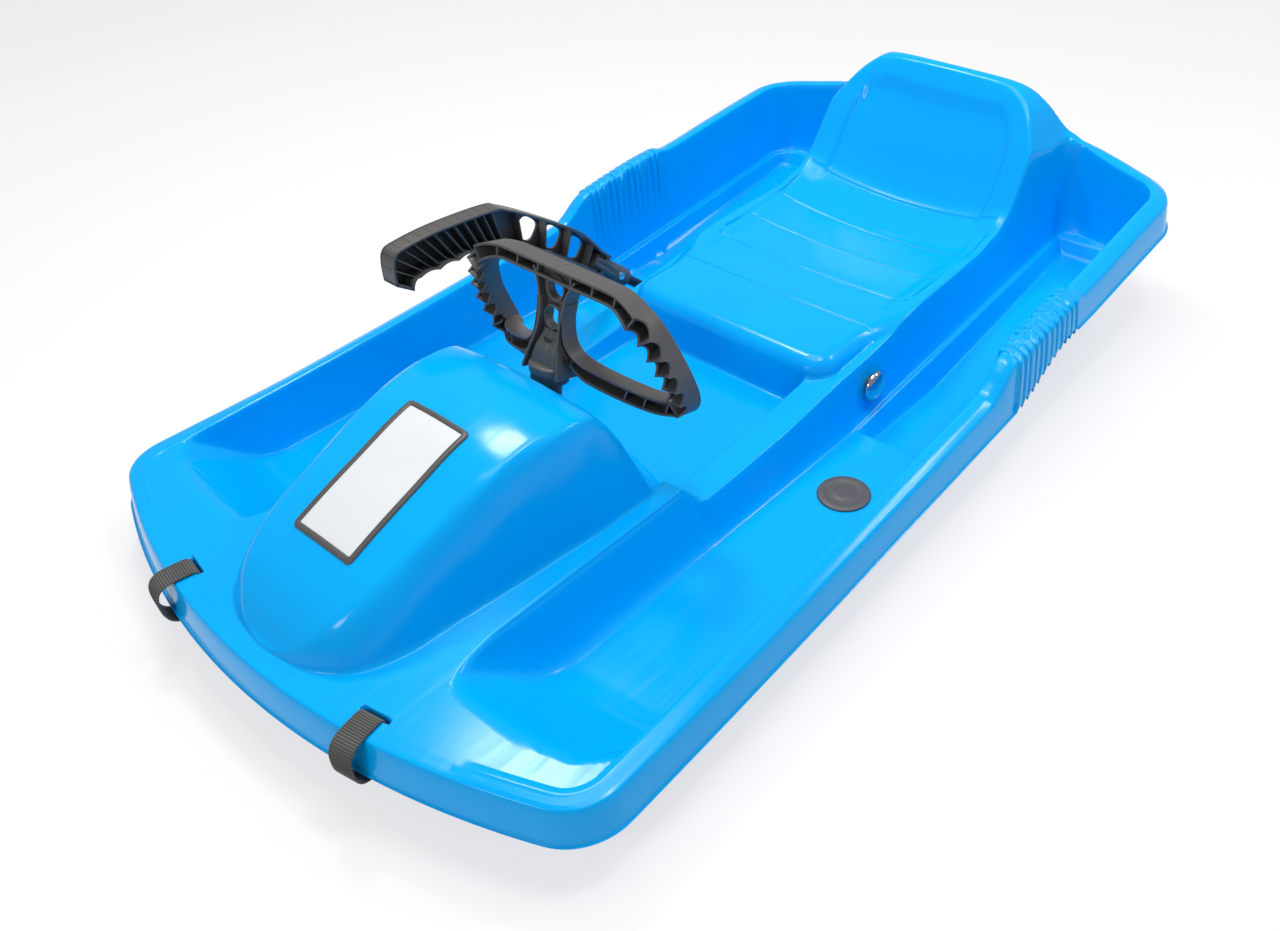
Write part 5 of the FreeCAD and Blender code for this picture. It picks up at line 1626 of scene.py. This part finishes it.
@dataclass
class BonnetPlate:
    """Framed blank plate that follows the bonnet."""

    hull: Hull
    middle: float = -345.1
    length: float = 121.6
    width: float = 69.0
    border: float = 4.6
    corner: float = 4.0
    least_corner: float = 0.8
    corner_steps: int = 7
    slope_share: float = 0.93
    stations: int = 220
    edge: float = 0.7
    border_foot: float = -1.0
    border_lifts: tuple = (1.5, 2.2, 2.2, 1.6)
    panel_rows: int = 25
    panel_cols: int = 45
    panel_under: float = 0.8
    panel_lifts: tuple = (1.0, -0.6)

    def outline(self, inset: float) -> Array:
        """Rounded rectangle in plan, in even steps.

        Args:
            inset: distance inside the frame's edge, shortened along by the bonnet's slope.

        Returns:
            Array of (x, y).
        """
        r = max(self.corner - inset, self.least_corner)
        w, h = self.width / 2 - inset - r, self.length / 2 - inset * self.slope_share - r
        quarter = np.linspace(0, np.pi / 2, self.corner_steps)
        parts = []
        for k, (x, y) in enumerate(((w, h), (-w, h), (-w, -h), (w, -h))):
            a = quarter + k * np.pi / 2
            parts.append(np.stack([x + r * np.cos(a), y + r * np.sin(a)], axis=1))
        loop = np.vstack([*parts, parts[0][:1]])
        run = run_along(loop)
        flat = resampled(loop, run, np.linspace(0, run[-1], self.stations, endpoint=False))
        return flat + np.array([0.0, self.middle])

    def lifted(self, flat: Array, lift: float) -> Array:
        """Plan points (x, y) carried onto the bonnet and lifted above it."""
        x, y = flat[..., 0], flat[..., 1]
        return points3(x, y, self.hull.height(np.abs(x), y) + lift)

    def build(self, shop: Workshop) -> None:
        """Makes the frame as a section carried round its outline, and the plate as two sheets with a wall.

        Args:
            shop: dresses the pieces.
        """
        insets = (0, 0, self.edge, self.border - self.edge, self.border, self.border)
        lifts = (self.border_foot, *self.border_lifts, self.border_foot)
        loops = [self.lifted(self.outline(inset), lift) for inset, lift in zip(insets, lifts)]
        border = add_object("plate_border", tube(np.array(loops), wrap=True), smooth_angle=50)
        shop.dress(border, "dark", Body.HULL, "plate_frame")

        rows, cols = self.panel_rows, self.panel_cols
        u, v = np.meshgrid(np.linspace(-1, 1, rows), np.linspace(-1, 1, cols), indexing="ij")
        inset = self.border - self.panel_under
        flat = np.stack([u * (self.width / 2 - inset), self.middle + v * (self.length / 2 - inset)], axis=-1)
        sheets = np.vstack([self.lifted(flat, lift).reshape(-1, 3) for lift in self.panel_lifts])
        order = np.arange(rows * cols).reshape(rows, cols)
        edge = np.concatenate([order[0], order[1:, -1], order[-1, -2::-1], order[-2:0:-1, 0]])
        ahead = np.roll(edge, -1)
        wall = np.stack([edge, ahead, ahead + order.size, edge + order.size], axis=1)
        faces = grid_faces(rows, cols)
        every = [*faces[:, ::-1].tolist(), *(faces + order.size).tolist(), *wall.tolist()]
        panel = add_object("plate_panel", Shape(sheets, every).outward(), smooth_angle=50)
        shop.dress(panel, "plate", Body.HULL, "plate")


@dataclass
class RoundTrim:
    """Floor plugs and the axle's bright cap, turned from (radius, height) profiles."""

    plug_x: float = 190.0
    plug_y: float = -20.0
    floor: float = 16.0
    plug_steps: int = 72
    cap_steps: int = 64
    plug: tuple = (
        (16.0, -2.5), (16.0, 0.2), (23.2, 0.2), (23.4, 0.8), (23.0, 1.6), (21.8, 2.1), (17.6, 2.4),
        (16.9, 2.3), (16.4, 1.7), (15.6, 1.45), (8.2, 1.45), (7.7, 1.7), (7.0, 1.75), (0.3, 1.75),
    )
    cap_place: tuple = (140.4, 95.0, 45.0)
    cap: tuple = (
        (14.6, 0.0), (15.2, 0.4), (15.4, 1.2), (14.8, 2.8), (13.3, 4.6), (10.9, 6.2), (7.7, 7.3),
        (4.0, 7.9), (0.2, 8.0),
    )

    def build(self, shop: Workshop) -> None:
        """Makes two plugs and the cap by turning their profiles.

        Args:
            shop: dresses the pieces.
        """
        for side, name in ((1, "left"), (-1, "right")):
            place = (side * self.plug_x, self.plug_y, self.floor)
            shape = placed(turned(self.plug, self.plug_steps), place, np.eye(3))
            plug = add_object("plug_" + name, shape, smooth_angle=50)
            shop.dress(plug, "dark", Body.HULL, "floor_plug_" + name)
        axes = np.array([[0, 1, 0], [0, 0, 1], [1, 0, 0]], float)
        shape = placed(turned(self.cap, self.cap_steps), self.cap_place, axes)
        cap = add_object("cap_dome", shape, smooth_angle=60)
        shop.dress(cap, "chrome", Body.BRAKE, "axle_cap")


# Scene


DARK_STEEL_NODES = ("wheel_bolt", "wheel_nut", "steering_column")
CAMERA_PLACE = (0.6233, -0.6996, 0.7017)
CAMERA_AXES = ((0.7352, 0.6760, -0.0511), (-0.3979, 0.4913, 0.7748), (0.5489, -0.5493, 0.6301))
CAMERA_LENS = 33.99
SENSOR_WIDTH = 36.0
FLOOR_HALF = 9000
FLOOR_DROP = 0.0005
FLOOR_GLOW = 0.68
WORLD_STRENGTH = 0.34
LAMPS = (
    ("ceiling", (0.0, 0.1, 1.9), (0.0, 0.0, 0.0), (1.2, 1.0), 16.0),
    ("deck", (-0.63, 0.20, 1.46), (0.24, -0.42, 0.07), (0.27, 0.2), 7.5),
    ("shoulder", (0.44, 0.11, 1.47), (0.05, -0.25, 0.1), (0.2, 0.16), 3.0),
    ("front", (0.14, -1.60, 0.98), (0.05, -0.43, 0.1), (0.36, 0.3), 4.5),
    ("side", (0.70, 0.88, 1.16), (0.27, 0.0, 0.08), (0.36, 0.2), 4.0),
)


def dress_nodes(shop: Workshop) -> None:
    """Gives every frame node the material of its slot, or dark steel.

    Args:
        shop: holds the materials.
    """
    for row in frame["record"]["subparts"]:
        node = frame["nodes"][row["node"]]
        node.data.materials.clear()
        slot = "dark_steel" if row["node"] in DARK_STEEL_NODES else row["material_slot"]
        node.data.materials.append(shop.materials[slot])
        log.info("frame node %s takes %s", row["node"], slot)


def add_camera() -> None:
    """Camera at the photograph's place, turned by its directions right, up and back."""
    data = bpy.data.cameras.new("camera")
    data.sensor_fit = "HORIZONTAL"
    data.sensor_width = SENSOR_WIDTH
    data.lens = CAMERA_LENS
    cam = bpy.data.objects.new("camera", data)
    bpy.context.scene.collection.objects.link(cam)
    cam.rotation_mode = "QUATERNION"
    cam.rotation_quaternion = Matrix(CAMERA_AXES).transposed().to_quaternion()
    cam.location = CAMERA_PLACE
    bpy.context.scene.camera = cam


def add_light(
    name: str, place: Sequence[float], aim: Sequence[float], size: Sequence[float], power: float
) -> None:
    """One rectangular lamp.

    Args:
        name: lamp name.
        place: where it stands, in metres.
        aim: what it looks at.
        size: width and height.
        power: power in watts.
    """
    data = bpy.data.lights.new(name, "AREA")
    data.shape = "RECTANGLE"
    data.size, data.size_y = size
    data.energy = power
    lamp = bpy.data.objects.new(name, data)
    bpy.context.scene.collection.objects.link(lamp)
    lamp.location = place
    lamp.rotation_mode = "QUATERNION"
    lamp.rotation_quaternion = (Vector(aim) - Vector(place)).to_track_quat("-Z", "Y")


def floor_material() -> bpy.types.Material:
    """Pale material that also glows where it is seen straight on or in a reflection.

    Returns:
        The material.
    """
    material = bpy.data.materials.new("pale_floor")
    material.use_nodes = True
    tree = material.node_tree
    shader = tree.nodes["Principled BSDF"]
    shader.inputs["Roughness"].default_value = 0.9
    shader.inputs["Specular IOR Level"].default_value = 0.1
    noise = add_node(tree, "TexNoise", {"Scale": 3.0})
    tone = add_mix(tree, (0.90, 0.90, 0.90), (0.92, 0.92, 0.92))
    path, glow, mixed = add_node(tree, "LightPath"), add_node(tree, "Emission"), add_node(tree, "MixShader")
    seen, reached, share = (add_node(tree, "Math") for _ in range(3))
    seen.operation = reached.operation = "ADD"
    reached.use_clamp = True
    share.operation = "MULTIPLY"
    share.inputs[1].default_value = FLOOR_GLOW
    wire(
        tree,
        (noise.outputs["Fac"], tone.inputs["Factor"]),
        (tone.outputs["Result"], shader.inputs["Base Color"]),
        (path.outputs["Is Camera Ray"], seen.inputs[0]),
        (path.outputs["Is Glossy Ray"], seen.inputs[1]),
        (seen.outputs[0], reached.inputs[0]),
        (path.outputs["Is Transmission Ray"], reached.inputs[1]),
        (reached.outputs[0], share.inputs[0]),
        (share.outputs[0], mixed.inputs[0]),
        (shader.outputs[0], mixed.inputs[1]),
        (glow.outputs[0], mixed.inputs[2]),
        (mixed.outputs[0], tree.nodes["Material Output"].inputs["Surface"]),
    )
    return material


def add_stage() -> None:
    """Pale floor, pale surroundings and soft lamps."""
    corners = np.array([[-1, -1, 0], [1, -1, 0], [1, 1, 0], [-1, 1, 0]], float) * FLOOR_HALF
    floor = add_object("floor", Shape(corners, [[0, 1, 2, 3]]))
    floor.location = (0, 0, -FLOOR_DROP)
    floor.data.materials.append(floor_material())

    world = bpy.data.worlds.new("studio")
    bpy.context.scene.world = world
    world.use_nodes = True
    back = world.node_tree.nodes["Background"]
    back.inputs["Color"].default_value = (1.0, 1.0, 1.0, 1)
    back.inputs["Strength"].default_value = WORLD_STRENGTH

    for lamp in LAMPS:
        add_light(*lamp)
    bpy.context.scene.view_settings.view_transform = "Standard"


def main() -> None:
    """Builds every piece round the frame."""
    logging.basicConfig(level=logging.INFO, format="%(message)s")
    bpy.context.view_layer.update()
    shop = Workshop({slot: make_material(finish) for slot, finish in FINISHES.items()})
    dress_nodes(shop)
    hull = Hull()
    for maker in (hull, Wheel(), Handle(), Strap(1), Strap(-1), BonnetPlate(hull), RoundTrim()):
        maker.build(shop)
    add_stage()
    add_camera()


if __name__ == "__main__":
    main()
